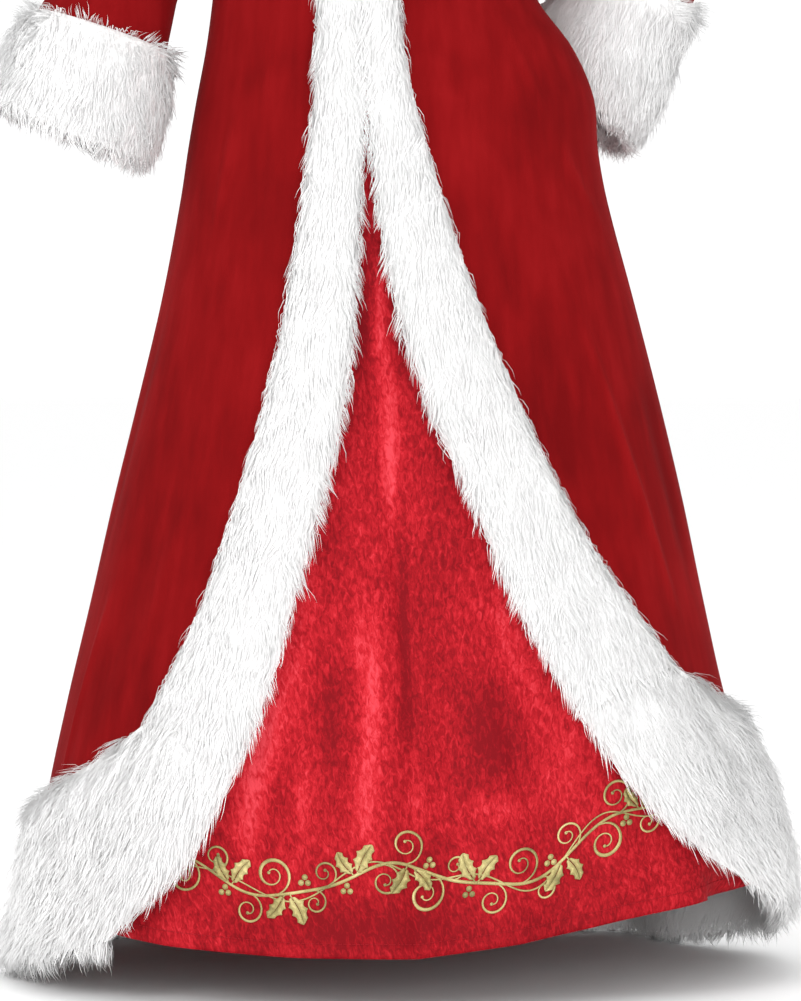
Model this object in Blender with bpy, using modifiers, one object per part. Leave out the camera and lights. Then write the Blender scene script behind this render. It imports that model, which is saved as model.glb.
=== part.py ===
"""Christmas costume dress: a long velvet robe over a crushed velvet front panel, edged in plush.

Metres, +Z up, the front faces -Y. The origin lies midway between the shoulder seams.
"""
import math
from collections import namedtuple
from functools import partial

import bmesh
import bpy
from mathutils import Vector

# Heights in the tables are above the floor, as worn
SHOULDER_HEIGHT = 1.475
ARMPIT_HEIGHT = 1.300
NECK_POINT_HEIGHT = 1.505
SHOULDER_TIP_HEIGHT = 1.455
NECK_HALF_WIDTH = 0.080
SHOULDER_HALF_WIDTH = 0.195
FRONT_NECKLINE_HEIGHT = 1.430
BACK_NECKLINE_HEIGHT = 1.488
NECKLINE_POWER = 2.2
YOKE_HALF_WIDTH = 0.225
YOKE_POWER = 1.6
SECTION_POWER = 2.1

CLOTH_THICKNESS = 0.0016
SEAM_GAP = 0.0009
CROSS_SEAM_GAP = 0.0013
SLEEVE_SEAM_GAP = 0.0006
SHOULDER_SEAM_GAP = 0.0026
ARMHOLE_GAP = 0.0005
PLUSH_GAP = 0.0003
PANEL_TOP_HEIGHT = 0.925
PANEL_GAP = 0.0009
PANEL_LOW_GAP = 0.0070
PANEL_LOW_HEIGHT = 0.30
PANEL_SINK = 0.006
PANEL_LAP = 0.022
# The panel lies back from the fronts over this share of its width and this drop
PANEL_SINK_SHARE = 0.16
PANEL_SINK_DROP = 0.25

BAND_COLUMNS = 4
FRONT_COLUMNS = 8
BACK_COLUMNS = 22
PANEL_COLUMNS = 24
PANEL_ROWS = 18
YOKE_ROWS = 7
BODY_ROWS = 19
HEM_ROWS = 4
HEM_START = YOKE_ROWS + BODY_ROWS
HEM_END = HEM_START + HEM_ROWS
HEM_SETTLE_ROUNDS = 8
# Small steps over a surface for its normal, in degrees and metres
NORMAL_TURN = 1.0
NORMAL_RISE = 0.008
YOKE_NORMAL_STEP = 0.004
SMOOTH_ANGLE = 60.0

# Half-widths and depths of the robe at each height
Section = namedtuple("Section", "height left right front back")
SECTIONS = (
    Section(0.000, 0.381, 0.438, 0.298, 0.352),
    Section(0.080, 0.352, 0.431, 0.287, 0.336),
    Section(0.184, 0.340, 0.407, 0.272, 0.312),
    Section(0.289, 0.318, 0.374, 0.255, 0.286),
    Section(0.394, 0.293, 0.350, 0.234, 0.258),
    Section(0.499, 0.269, 0.328, 0.212, 0.230),
    Section(0.604, 0.243, 0.303, 0.190, 0.203),
    Section(0.709, 0.218, 0.276, 0.168, 0.178),
    Section(0.814, 0.198, 0.248, 0.149, 0.158),
    Section(0.867, 0.190, 0.2385, 0.140, 0.150),
    Section(0.919, 0.181, 0.2345, 0.132, 0.142),
    Section(0.972, 0.171, 0.212, 0.124, 0.134),
    Section(1.024, 0.164, 0.174, 0.118, 0.124),
    Section(1.085, 0.158, 0.156, 0.114, 0.110),
    Section(1.170, 0.154, 0.153, 0.120, 0.108),
    Section(1.250, 0.158, 0.158, 0.130, 0.118),
    Section(1.300, 0.162, 0.162, 0.124, 0.122),
    Section(1.360, 0.165, 0.165, 0.116, 0.120),
)

# Angles round the body from centre front, in degrees, plus towards +X
Edge = namedtuple("Edge", "height left_in left_out right_in right_out right_side")
EDGES = (
    Edge(0.000, -62.0, -83.0, 92.0, 113.0, 125.0),
    Edge(0.070, -52.0, -74.0, 82.0, 103.0, 120.0),
    Edge(0.105, -45.0, -68.0, 77.0, 97.5, 117.0),
    Edge(0.150, -36.5, -62.0, 63.0, 90.0, 113.5),
    Edge(0.205, -31.4, -56.0, 53.9, 81.0, 110.0),
    Edge(0.307, -23.6, -47.8, 43.8, 69.0, 103.0),
    Edge(0.409, -18.4, -40.0, 34.5, 57.8, 97.0),
    Edge(0.508, -13.0, -35.3, 27.2, 49.2, 93.0),
    Edge(0.608, -7.4, -30.8, 17.6, 42.2, 90.5),
    Edge(0.709, -4.8, -27.4, 9.4, 35.0, 90.0),
    Edge(0.810, -3.6, -25.0, 3.6, 27.6, 90.0),
    Edge(0.912, -1.8, -23.4, -0.6, 19.4, 90.0),
    Edge(0.960, -2.2, -23.8, -2.2, 16.2, 90.0),
    Edge(1.020, -3.2, -24.2, -3.2, 14.4, 90.0),
    Edge(1.100, -2.0, -22.0, -2.0, 16.6, 90.0),
    Edge(1.200, -0.6, -19.8, -0.6, 18.4, 90.0),
    Edge(1.300, 0.0, -19.0, 0.0, 19.0, 90.0),
)

# Share is -1 at a front edge, 0 where its band ends and 1 at the side seam
HemLine = namedtuple("HemLine", "share plush_top hem")
LEFT_HEM = (
    HemLine(-1.0, 0.250, 0.066),
    HemLine(-0.5, 0.272, 0.050),
    HemLine(0.0, 0.284, 0.037),
    HemLine(0.25, 0.236, 0.029),
    HemLine(0.6, 0.199, 0.022),
    HemLine(1.0, 0.180, 0.020),
)
RIGHT_HEM = (
    HemLine(-1.0, 0.292, 0.105),
    HemLine(-0.5, 0.322, 0.070),
    HemLine(0.0, 0.338, 0.048),
    HemLine(0.25, 0.303, 0.041),
    HemLine(0.6, 0.266, 0.030),
    HemLine(1.0, 0.224, 0.020),
)
# Share runs from the right side seam round the back to the left one
BACK_HEM = (
    HemLine(0.0, 0.224, 0.020),
    HemLine(0.2, 0.184, 0.006),
    HemLine(0.5, 0.166, 0.006),
    HemLine(0.8, 0.168, 0.010),
    HemLine(1.0, 0.180, 0.020),
)

# A soft fold that grows from its top height down to the hem
Fold = namedtuple("Fold", "angle width depth top")
ROBE_FOLDS = (
    Fold(-68.0, 7.0, 0.006, 0.90),
    Fold(-56.0, 6.0, -0.005, 0.80),
    Fold(60.0, 8.0, 0.008, 0.95),
    Fold(74.0, 6.0, -0.007, 0.80),
    Fold(108.0, 9.0, 0.014, 0.80),
    Fold(122.0, 8.0, -0.014, 0.75),
    Fold(137.0, 9.0, 0.022, 1.00),
    Fold(152.0, 8.0, -0.016, 0.85),
    Fold(168.0, 10.0, 0.024, 1.05),
    Fold(186.0, 9.0, -0.016, 0.80),
    Fold(202.0, 10.0, 0.020, 0.95),
    Fold(218.0, 8.0, -0.014, 0.80),
    Fold(234.0, 9.0, 0.018, 0.90),
    Fold(249.0, 7.0, -0.010, 0.70),
)
ROBE_FOLD_GROWTH = 1.25
PANEL_FOLD_GROWTH = 1.0
# A hollow behind the right hip, where the cuff lies
HIP_HOLLOW_ANGLE = 130.0
HIP_HOLLOW_WIDTH = 20.0
HIP_HOLLOW_HEIGHT = 0.975
HIP_HOLLOW_REACH = 0.085
HIP_HOLLOW_DEPTH = 0.016

PANEL_FOLDS = (
    Fold(-40.0, 6.0, 0.007, 0.45),
    Fold(-27.0, 5.0, -0.008, 0.50),
    Fold(-14.0, 6.0, 0.006, 0.55),
    Fold(3.0, 5.0, 0.009, 0.80),
    Fold(11.0, 4.0, -0.010, 0.75),
    Fold(24.0, 6.0, 0.006, 0.55),
    Fold(37.0, 5.0, -0.009, 0.45),
    Fold(49.0, 6.0, 0.006, 0.40),
    Fold(61.5, 4.5, 0.010, 0.30),
    Fold(70.0, 4.5, -0.045, 0.34),
)
PanelHem = namedtuple("PanelHem", "angle hem")
PANEL_HEM = (
    PanelHem(-62.0, 0.074),
    PanelHem(-40.0, 0.064),
    PanelHem(-15.0, 0.058),
    PanelHem(10.0, 0.057),
    PanelHem(30.0, 0.070),
    PanelHem(40.0, 0.080),
    PanelHem(48.0, 0.089),
    PanelHem(62.0, 0.101),
    PanelHem(90.0, 0.112),
)

Armhole = namedtuple("Armhole", "share across height")
ARMHOLE = (
    Armhole(0.00, 0.162, 1.300),
    Armhole(0.15, 0.156, 1.318),
    Armhole(0.35, 0.152, 1.350),
    Armhole(0.60, 0.158, 1.396),
    Armhole(0.80, 0.173, 1.431),
    Armhole(1.00, 0.195, 1.455),
)

# Sleeve rings from the shoulder: out from the centre, forward, and the axis as
# its slope below the level line and its swing to the front
SleeveRing = namedtuple("SleeveRing", "out forward height slope swing wide deep")
LEFT_SLEEVE = (
    SleeveRing(0.1900, 0.000, 1.3740, 18.0, 0.0, 0.0780, 0.0720),
    SleeveRing(0.2110, 0.000, 1.3615, 34.0, 0.0, 0.0760, 0.0710),
    SleeveRing(0.2267, -0.001, 1.3388, 52.0, 0.0, 0.0720, 0.0695),
    SleeveRing(0.2322, -0.002, 1.3107, 68.0, 0.0, 0.0660, 0.0675),
    SleeveRing(0.2328, -0.003, 1.2798, 79.0, -2.0, 0.0620, 0.0655),
    SleeveRing(0.2335, -0.005, 1.2400, 84.0, -4.0, 0.0600, 0.0645),
    SleeveRing(0.2378, -0.009, 1.1900, 85.0, -4.0, 0.0595, 0.0635),
    SleeveRing(0.2425, -0.011, 1.1450, 84.0, 3.0, 0.0595, 0.0625),
    SleeveRing(0.2480, -0.007, 1.1000, 81.0, 7.0, 0.0600, 0.0620),
    SleeveRing(0.2560, 0.002, 1.0580, 78.0, 8.0, 0.0605, 0.0630),
    SleeveRing(0.2665, 0.014, 1.0200, 75.0, 6.0, 0.0645, 0.0660),
    SleeveRing(0.2780, 0.024, 0.9880, 72.0, 2.0, 0.0700, 0.0700),
    SleeveRing(0.2860, 0.031, 0.9640, 70.0, 0.0, 0.0735, 0.0720),
    SleeveRing(0.2935, 0.037, 0.9400, 69.0, -2.0, 0.0755, 0.0730),
    SleeveRing(0.3010, 0.042, 0.9160, 68.0, -3.0, 0.0765, 0.0740),
    SleeveRing(0.3085, 0.047, 0.8930, 67.0, -4.0, 0.0770, 0.0740),
)
RIGHT_SLEEVE = (
    SleeveRing(0.1900, -0.002, 1.3740, 17.0, -5.0, 0.0780, 0.0720),
    SleeveRing(0.2060, -0.006, 1.3660, 27.0, -12.0, 0.0760, 0.0710),
    SleeveRing(0.2220, -0.013, 1.3530, 37.0, -20.0, 0.0730, 0.0700),
    SleeveRing(0.2372, -0.022, 1.3357, 46.0, -26.0, 0.0700, 0.0680),
    SleeveRing(0.2528, -0.034, 1.3110, 53.0, -29.0, 0.0665, 0.0660),
    SleeveRing(0.2740, -0.053, 1.2760, 58.0, -30.0, 0.0645, 0.0650),
    SleeveRing(0.2960, -0.075, 1.2360, 61.0, -28.0, 0.0635, 0.0640),
    SleeveRing(0.3110, -0.097, 1.1920, 74.0, -23.0, 0.0635, 0.0640),
    SleeveRing(0.3150, -0.117, 1.1450, 91.0, -16.0, 0.0635, 0.0640),
    SleeveRing(0.3060, -0.134, 1.0970, 105.0, -10.0, 0.0635, 0.0640),
    SleeveRing(0.2880, -0.145, 1.0490, 112.0, -4.0, 0.0640, 0.0650),
    SleeveRing(0.2650, -0.150, 1.0050, 116.0, 2.0, 0.0650, 0.0660),
    SleeveRing(0.2540, -0.150, 0.9830, 117.0, 5.0, 0.0660, 0.0660),
    SleeveRing(0.2430, -0.148, 0.9610, 118.0, 8.0, 0.0665, 0.0660),
    SleeveRing(0.2315, -0.145, 0.9400, 119.0, 10.0, 0.0665, 0.0660),
    SleeveRing(0.2200, -0.141, 0.9190, 119.0, 10.0, 0.0665, 0.0660),
)
CUFF_FIRST_RING = {"left": 12, "right": 11}
# Each sleeve node with its first and last ring; the bent sleeve is four nodes
SleevePiece = namedtuple("SleevePiece", "name first last")
SLEEVE_PIECES = {
    "left": (SleevePiece("sleeve_left", 0, 16),),
    "right": (
        SleevePiece("sleeve_right_top", 0, 4),
        SleevePiece("sleeve_right_upper", 4, 8),
        SleevePiece("sleeve_right_elbow", 8, 12),
        SleevePiece("sleeve_right_lower", 12, 16),
    ),
}

# Height of the plush over the cloth, across a band, across the hem and along a cuff
BAND_PLUSH = (0.008, 0.017, 0.020, 0.017, 0.008)
HEM_PLUSH = (0.009, 0.019, 0.023, 0.020, 0.010)
CUFF_PLUSH = {
    "left": (0.010, 0.019, 0.022, 0.020, 0.011),
    "right": (0.009, 0.016, 0.019, 0.021, 0.020, 0.011),
}
# Where the fronts meet, the plush stays full up to the edge
CLOSED_EDGE_PLUSH = 0.016
CLOSED_HEIGHT = 0.90
CLOSED_BLEND = 0.12

VELVET_COLOUR = (0.262, 0.008, 0.010, 1.0)
PANEL_COLOUR = (0.530, 0.012, 0.022, 1.0)
PLUSH_COLOUR = (0.860, 0.860, 0.850, 1.0)
VELVET_ROUGHNESS = 0.85
PANEL_ROUGHNESS = 0.35
PLUSH_ROUGHNESS = 0.95


def mix(start, end, share):
    return start + (end - start) * share


def limit(value, low=0.0, high=1.0):
    return max(low, min(high, value))


def read_table(table, column, at):
    """Straight reading between the rows of a table whose first column rises."""
    keys = [row[0] for row in table]
    at = limit(at, keys[0], keys[-1])
    for lower, upper in zip(table, table[1:]):
        if at <= upper[0]:
            share = (at - lower[0]) / (upper[0] - lower[0])
            return mix(getattr(lower, column), getattr(upper, column), share)
    return getattr(table[-1], column)


def read_smooth(table, column, at):
    """Smooth reading through the rows of a table whose first column rises."""
    keys = [row[0] for row in table]
    values = [getattr(row, column) for row in table]
    at = limit(at, keys[0], keys[-1])
    index = 0
    while index < len(keys) - 2 and at > keys[index + 1]:
        index += 1

    def slope(place):
        before = max(place - 1, 0)
        after = min(place + 1, len(keys) - 1)
        return (values[after] - values[before]) / (keys[after] - keys[before])

    span = keys[index + 1] - keys[index]
    t = (at - keys[index]) / span
    start_slope = slope(index) * span
    end_slope = slope(index + 1) * span
    return (
        values[index] * (2 * t**3 - 3 * t**2 + 1)
        + start_slope * (t**3 - 2 * t**2 + t)
        + values[index + 1] * (3 * t**2 - 2 * t**3)
        + end_slope * (t**3 - t**2)
    )


def turn_between(angle, centre):
    """Difference of two angles in degrees, from -180 to 180."""
    return (angle - centre + 180.0) % 360.0 - 180.0


def fold_push(folds, angle, height, growth):
    """How far the folds push the cloth out at an angle and a height."""
    push = 0.0
    for fold in folds:
        share = limit((fold.top - height) / fold.top)
        swell = math.exp(-((turn_between(angle, fold.angle) / fold.width) ** 2))
        push += fold.depth * swell * share**growth
    return push


def hip_hollow(angle, height):
    across = turn_between(angle, HIP_HOLLOW_ANGLE) / HIP_HOLLOW_WIDTH
    along = (height - HIP_HOLLOW_HEIGHT) / HIP_HOLLOW_REACH
    return HIP_HOLLOW_DEPTH * math.exp(-(across**2) - along**2)


def robe_spot(angle, height):
    """Point of the robe's outer face below the armpits."""
    turn = math.radians(angle)
    sine = math.sin(turn)
    cosine = math.cos(turn)
    wide = read_smooth(SECTIONS, "right" if sine > 0 else "left", height)
    deep = read_smooth(SECTIONS, "front" if cosine > 0 else "back", height)
    power = SECTION_POWER
    radius = ((abs(sine) / wide) ** power + (abs(cosine) / deep) ** power) ** (-1 / power)
    radius += fold_push(ROBE_FOLDS, angle, height, ROBE_FOLD_GROWTH)
    radius -= hip_hollow(angle, height)
    return Vector((radius * sine, -radius * cosine, height - SHOULDER_HEIGHT))


def face_out(spot, first, second, step_first, step_second):
    """Unit normal of a surface from four points close by."""
    along = spot(first + step_first, second) - spot(first - step_first, second)
    up = spot(first, second + step_second) - spot(first, second - step_second)
    return along.cross(up).normalized()


def robe_point(angle, height, lift=0.0):
    point = robe_spot(angle, height)
    if lift:
        point = point + face_out(robe_spot, angle, height, NORMAL_TURN, NORMAL_RISE) * lift
    return point


def shoulder_line(across):
    """Height of the shoulder seam at a distance from the centre."""
    fall = (NECK_POINT_HEIGHT - SHOULDER_TIP_HEIGHT) / (SHOULDER_HALF_WIDTH - NECK_HALF_WIDTH)
    return NECK_POINT_HEIGHT - (abs(across) - NECK_HALF_WIDTH) * fall


def yoke_point(across, height, facing):
    """Point over the chest, with facing -1, or over the shoulder blades, with facing 1."""
    rise = limit((height - ARMPIT_HEIGHT) / (shoulder_line(across) - ARMPIT_HEIGHT))
    grow = limit((height - ARMPIT_HEIGHT) / (SHOULDER_TIP_HEIGHT - ARMPIT_HEIGHT))
    armpit_width = read_smooth(SECTIONS, "right", ARMPIT_HEIGHT)
    wide = mix(armpit_width, YOKE_HALF_WIDTH, grow * grow * (3 - 2 * grow))
    deep = read_smooth(SECTIONS, "front" if facing < 0 else "back", ARMPIT_HEIGHT)
    edge = limit(1 - (abs(across) / wide) ** SECTION_POWER) ** (1 / SECTION_POWER)
    slack = (1 - rise**YOKE_POWER) ** (1 / YOKE_POWER)
    depth = max(deep * edge * slack, SHOULDER_SEAM_GAP / 2)
    return Vector((across, facing * depth, height - SHOULDER_HEIGHT))


def neck_or_shoulder(across, neckline):
    """Height of the top edge: the neckline's curve, then the shoulder seam."""
    share = abs(across) / NECK_HALF_WIDTH
    if share < 1:
        return mix(neckline, NECK_POINT_HEIGHT, share**NECKLINE_POWER)
    return shoulder_line(across)


def yoke_grid_place(share_out, climb, neckline):
    """Across and height of a grid point above the armpits, share_out -1 to 1 between armholes."""
    across = share_out * read_smooth(ARMHOLE, "across", climb)
    crest = neck_or_shoulder(share_out * SHOULDER_HALF_WIDTH, neckline)
    edge_height = read_smooth(ARMHOLE, "height", climb)
    risen = (edge_height - ARMPIT_HEIGHT) / (SHOULDER_TIP_HEIGHT - ARMPIT_HEIGHT)
    height = mix(ARMPIT_HEIGHT, crest, risen)
    return across, height


def yoke_spot(across, height, facing, lift=0.0):
    point = yoke_point(across, height, facing)
    if lift:
        spot = partial(yoke_point, facing=facing)
        step = YOKE_NORMAL_STEP
        point = point - face_out(spot, across, height, step, step) * lift * facing
    return point


def seam_turn(angle, height):
    """Half a seam's gap as an angle at this place."""
    return math.degrees(SEAM_GAP / 2 / robe_spot(angle, height).xy.length)


def row_heights(plush_top, hem):
    """Heights down a column below the armpit: the body rows, then the rows of the hem's plush."""
    heights = [mix(ARMPIT_HEIGHT, plush_top, row / BODY_ROWS) for row in range(BODY_ROWS + 1)]
    heights += [mix(plush_top, hem, row / HEM_ROWS) for row in range(1, HEM_ROWS + 1)]
    return heights


def edge_angle(side, height):
    """Angle of a front's free edge; the two edges never pass each other."""
    left = read_smooth(EDGES, "left_in", height)
    if side == "left":
        return left
    return max(read_smooth(EDGES, "right_in", height), left)


def front_angle(side, share, height):
    """Angle of a front's column: share -1 at its edge, 0 at its band's end, 1 at the side seam."""
    edge_in = edge_angle(side, height)
    edge_out = read_smooth(EDGES, side + "_out", height)
    side_seam = -90.0 if side == "left" else read_smooth(EDGES, "right_side", height)
    sign = -1.0 if side == "left" else 1.0
    if share <= 0:
        angle = mix(edge_in, edge_out, share + 1)
    else:
        angle = mix(edge_out, side_seam, share)
    if share == -1:
        angle += sign * seam_turn(angle, height)
    if share == 1:
        angle -= sign * seam_turn(angle, height)
    return angle


def front_shares():
    band = [column / BAND_COLUMNS - 1 for column in range(BAND_COLUMNS + 1)]
    body = [column / FRONT_COLUMNS for column in range(1, FRONT_COLUMNS + 1)]
    return band + body


def no_lift(column, row, height):
    return 0.0


def front_grid(side, lift_at=no_lift):
    """Rows of points of a front, from the shoulder down to the hem."""
    table = LEFT_HEM if side == "left" else RIGHT_HEM
    columns = []
    armpit_width = read_smooth(SECTIONS, side, ARMPIT_HEIGHT)
    for index, share in enumerate(front_shares()):
        column = []
        armpit_angle = front_angle(side, share, ARMPIT_HEIGHT)
        share_out = robe_spot(armpit_angle, ARMPIT_HEIGHT).x / armpit_width
        for row in range(YOKE_ROWS):
            climb = 1 - row / YOKE_ROWS
            across, height = yoke_grid_place(share_out, climb, FRONT_NECKLINE_HEIGHT)
            column.append(yoke_spot(across, height, -1, lift_at(index, row, height)))
        plush_top = read_table(table, "plush_top", share)
        hem = read_table(table, "hem", share)
        for row, height in enumerate(row_heights(plush_top, hem)):
            lift = lift_at(index, row + YOKE_ROWS, height)
            column.append(robe_point(front_angle(side, share, height), height, lift))
        columns.append(column)
    rows = [list(row) for row in zip(*columns)]
    return rows if side == "right" else [row[::-1] for row in rows]


def back_angle(share, height):
    """Angle of a back column, from the right side seam to the left one."""
    start = read_smooth(EDGES, "right_side", height)
    angle = mix(start, 270.0, share)
    if share == 0:
        angle += seam_turn(angle, height)
    if share == 1:
        angle -= seam_turn(angle, height)
    return angle


def back_grid(lift_at=no_lift):
    """Rows of points of the back, from the shoulders down to the hem."""
    columns = []
    armpit_width = read_smooth(SECTIONS, "right", ARMPIT_HEIGHT)
    for index in range(BACK_COLUMNS + 1):
        share = index / BACK_COLUMNS
        column = []
        share_out = robe_spot(back_angle(share, ARMPIT_HEIGHT), ARMPIT_HEIGHT).x / armpit_width
        for row in range(YOKE_ROWS):
            climb = 1 - row / YOKE_ROWS
            across, height = yoke_grid_place(share_out, climb, BACK_NECKLINE_HEIGHT)
            column.append(yoke_spot(across, height, 1))
        plush_top = read_table(BACK_HEM, "plush_top", share)
        hem = read_table(BACK_HEM, "hem", share)
        for row, height in enumerate(row_heights(plush_top, hem)):
            lift = lift_at(index, row + YOKE_ROWS, height)
            column.append(robe_point(back_angle(share, height), height, lift))
        columns.append(column)
    return [list(row) for row in zip(*columns)]


def panel_grid():
    """Rows of points of the centre panel, which laps under both fronts' edges."""
    rows = []
    for row in range(PANEL_ROWS + 1):
        points = []
        for column in range(PANEL_COLUMNS + 1):
            share = column / PANEL_COLUMNS
            height = PANEL_TOP_HEIGHT
            for _ in range(HEM_SETTLE_ROUNDS):
                lap = math.degrees(PANEL_LAP / robe_spot(0.0, height).xy.length)
                start = edge_angle("left", height) - lap
                end = edge_angle("right", height) + lap
                angle = mix(start, end, share)
                hem = read_table(PANEL_HEM, "hem", angle)
                height = mix(PANEL_TOP_HEIGHT, hem, row / PANEL_ROWS)
            inner = limit(min(share, 1 - share) / PANEL_SINK_SHARE)
            inner = inner * inner * (3 - 2 * inner)
            open_share = limit((PANEL_TOP_HEIGHT - height) / PANEL_SINK_DROP)
            low_share = limit((PANEL_LOW_HEIGHT - height) / PANEL_LOW_HEIGHT)
            sink = CLOTH_THICKNESS + PANEL_GAP + PANEL_SINK * inner * open_share
            sink += PANEL_LOW_GAP * low_share
            push = fold_push(PANEL_FOLDS, angle, height, PANEL_FOLD_GROWTH) * inner
            points.append(robe_point(angle, height, push - sink))
        rows.append(points)
    return rows


def new_material(name, colour, roughness):
    material = bpy.data.materials.new(name)
    material.use_nodes = True
    shader = material.node_tree.nodes["Principled BSDF"]
    shader.inputs["Base Color"].default_value = colour
    shader.inputs["Roughness"].default_value = roughness
    shader.inputs["Metallic"].default_value = 0.0
    material.diffuse_color = colour
    return material


def finish_object(name, mesh_data, collection, material):
    mesh = bpy.data.meshes.new(name)
    mesh_data.to_mesh(mesh)
    mesh_data.free()
    mesh.materials.append(material)
    mesh.shade_smooth()
    mesh.set_sharp_from_angle(angle=math.radians(SMOOTH_ANGLE))
    piece = bpy.data.objects.new(name, mesh)
    collection.objects.link(piece)
    return piece


def sheet_mesh(rows):
    """An open sheet through rows of points, from a flat grid."""
    mesh_data = bmesh.new()
    column_count = len(rows[0])
    bmesh.ops.create_grid(
        mesh_data, x_segments=column_count - 1, y_segments=len(rows) - 1, size=1.0
    )
    mesh_data.verts.ensure_lookup_table()
    for index, vertex in enumerate(mesh_data.verts):
        vertex.co = rows[len(rows) - 1 - index // column_count][index % column_count]
    return mesh_data


def split_quads(mesh_data):
    """Cut every four-sided face along its shorter diagonal."""
    quads = [face for face in mesh_data.faces if len(face.verts) == 4]
    bmesh.ops.triangulate(mesh_data, faces=quads, quad_method="SHORT_EDGE")


def make_cloth(name, mesh_data, collection, material):
    """A cloth piece: the mesh is its outer face, and the wall grows inwards."""
    piece = finish_object(name, mesh_data, collection, material)
    wall = piece.modifiers.new("Wall", "SOLIDIFY")
    wall.thickness = CLOTH_THICKNESS
    wall.offset = -1.0


def make_panel_piece(name, rows, collection, material):
    mesh_data = sheet_mesh(rows)
    split_quads(mesh_data)
    make_cloth(name, mesh_data, collection, material)


def make_plush(name, cloth_rows, under_rows, upper_rows, collection, material):
    """A plush piece, cut as the cloth below it is, from its under face up to its raised face."""
    mesh_data = sheet_mesh(cloth_rows)
    split_quads(mesh_data)
    column_count = len(cloth_rows[0])
    places = {}
    for index, vertex in enumerate(mesh_data.verts):
        row = len(cloth_rows) - 1 - index // column_count
        places[tuple(vertex.co)] = (row, index % column_count)
    under = mesh_data.verts[:]
    raised = bmesh.ops.extrude_face_region(mesh_data, geom=mesh_data.faces[:])
    upper = [item for item in raised["geom"] if isinstance(item, bmesh.types.BMVert)]
    for verts, rows in ((under, under_rows), (upper, upper_rows)):
        for vertex in verts:
            row, column = places[tuple(vertex.co)]
            vertex.co = rows[row][column]
    split_quads(mesh_data)
    bmesh.ops.recalc_face_normals(mesh_data, faces=mesh_data.faces[:])
    return finish_object(name, mesh_data, collection, material)


def under_lift(column, row, height):
    """The plush lies just clear of the cloth."""
    return PLUSH_GAP


def band_lift(column, row, height):
    """Raised face of a front's band of plush, by its column."""
    lift = BAND_PLUSH[min(column, BAND_COLUMNS)]
    if column == 0:
        closed = limit((height - CLOSED_HEIGHT + CLOSED_BLEND) / CLOSED_BLEND)
        lift = mix(lift, CLOSED_EDGE_PLUSH, closed)
    return PLUSH_GAP + lift


def hem_lift(column, row, height):
    """Raised face of the hem's plush, by its row."""
    if row < HEM_START:
        return PLUSH_GAP
    return PLUSH_GAP + HEM_PLUSH[row - HEM_START]


def front_hem_lift(column, row, height):
    """Raised face of a front's hem plush, which takes over its band's form."""
    if column == 0:
        return PLUSH_GAP + BAND_PLUSH[0]
    if row == HEM_START and column <= BAND_COLUMNS:
        return PLUSH_GAP + BAND_PLUSH[column]
    return hem_lift(column, row, height)


def cut_rows(rows, first_row, last_row, first_column=0, last_column=None):
    last = len(rows[0]) - 1 if last_column is None else last_column
    return [row[first_column:last + 1] for row in rows[first_row:last_row + 1]]


def shorten_last_row(rows, gap=SEAM_GAP):
    """Hold a piece's lower end a seam's gap short of the piece below it."""
    end = []
    for above, below in zip(rows[-2], rows[-1]):
        end.append(below + (above - below).normalized() * gap)
    return rows[:-1] + [end]


def make_robe_panel(place, cloth, collection, velvet):
    """A robe panel as two nodes: its yoke, and its length below the armpit."""
    yoke = shorten_last_row(cut_rows(cloth, 0, YOKE_ROWS), CROSS_SEAM_GAP)
    make_panel_piece("yoke_" + place, yoke, collection, velvet["yoke_" + place])
    length = cut_rows(cloth, YOKE_ROWS, HEM_END)
    make_panel_piece("robe_" + place, length, collection, velvet["robe_" + place])


def make_front(side, collection, velvet, plush):
    """A front with the band of plush down its edge and the plush at its hem."""
    cloth = front_grid(side)
    under = front_grid(side, under_lift)
    make_robe_panel("front_" + side, cloth, collection, velvet)

    edge_column = len(cloth[0]) - 1 if side == "left" else 0
    first = min(edge_column, abs(edge_column - BAND_COLUMNS))
    band_cut = (0, HEM_START, first, first + BAND_COLUMNS)
    make_plush(
        "plush_band_" + side,
        cut_rows(cloth, *band_cut),
        shorten_last_row(cut_rows(under, *band_cut)),
        shorten_last_row(cut_rows(front_grid(side, band_lift), *band_cut)),
        collection,
        plush["band_" + side],
    )
    make_plush(
        "plush_hem_" + side,
        cut_rows(cloth, HEM_START, HEM_END),
        cut_rows(under, HEM_START, HEM_END),
        cut_rows(front_grid(side, front_hem_lift), HEM_START, HEM_END),
        collection,
        plush["hem_" + side],
    )


def make_back(collection, velvet, plush):
    cloth = back_grid()
    make_robe_panel("back", cloth, collection, velvet)
    make_plush(
        "plush_hem_back",
        cut_rows(cloth, HEM_START, HEM_END),
        cut_rows(back_grid(under_lift), HEM_START, HEM_END),
        cut_rows(back_grid(hem_lift), HEM_START, HEM_END),
        collection,
        plush["hem_back"],
    )


def sleeve_axes(ring, sign):
    """Axis of a sleeve ring, its outer direction and its front direction."""
    slope = math.radians(ring.slope)
    swing = math.radians(ring.swing)
    axis = Vector((
        sign * math.cos(slope) * math.cos(swing),
        -math.sin(swing),
        -math.sin(slope) * math.cos(swing),
    ))
    front = Vector((0.0, -1.0, 0.0))
    front = (front - axis * front.dot(axis)).normalized()
    outer = front.cross(axis).normalized() * sign
    return axis, outer, front


def armhole_loop(sign):
    """Points of the armhole's edge, from the shoulder down the front and up the back."""
    loop = []
    for facing, steps in ((-1, range(YOKE_ROWS + 1)), (1, range(YOKE_ROWS - 1, 0, -1))):
        for step in steps:
            climb = 1 - step / YOKE_ROWS
            across = read_smooth(ARMHOLE, "across", climb)
            height = read_smooth(ARMHOLE, "height", climb)
            point = yoke_point(sign * across, height, facing)
            if step in (0, YOKE_ROWS):
                point.y = 0.0
            loop.append((point, facing, climb))
    return loop


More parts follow.
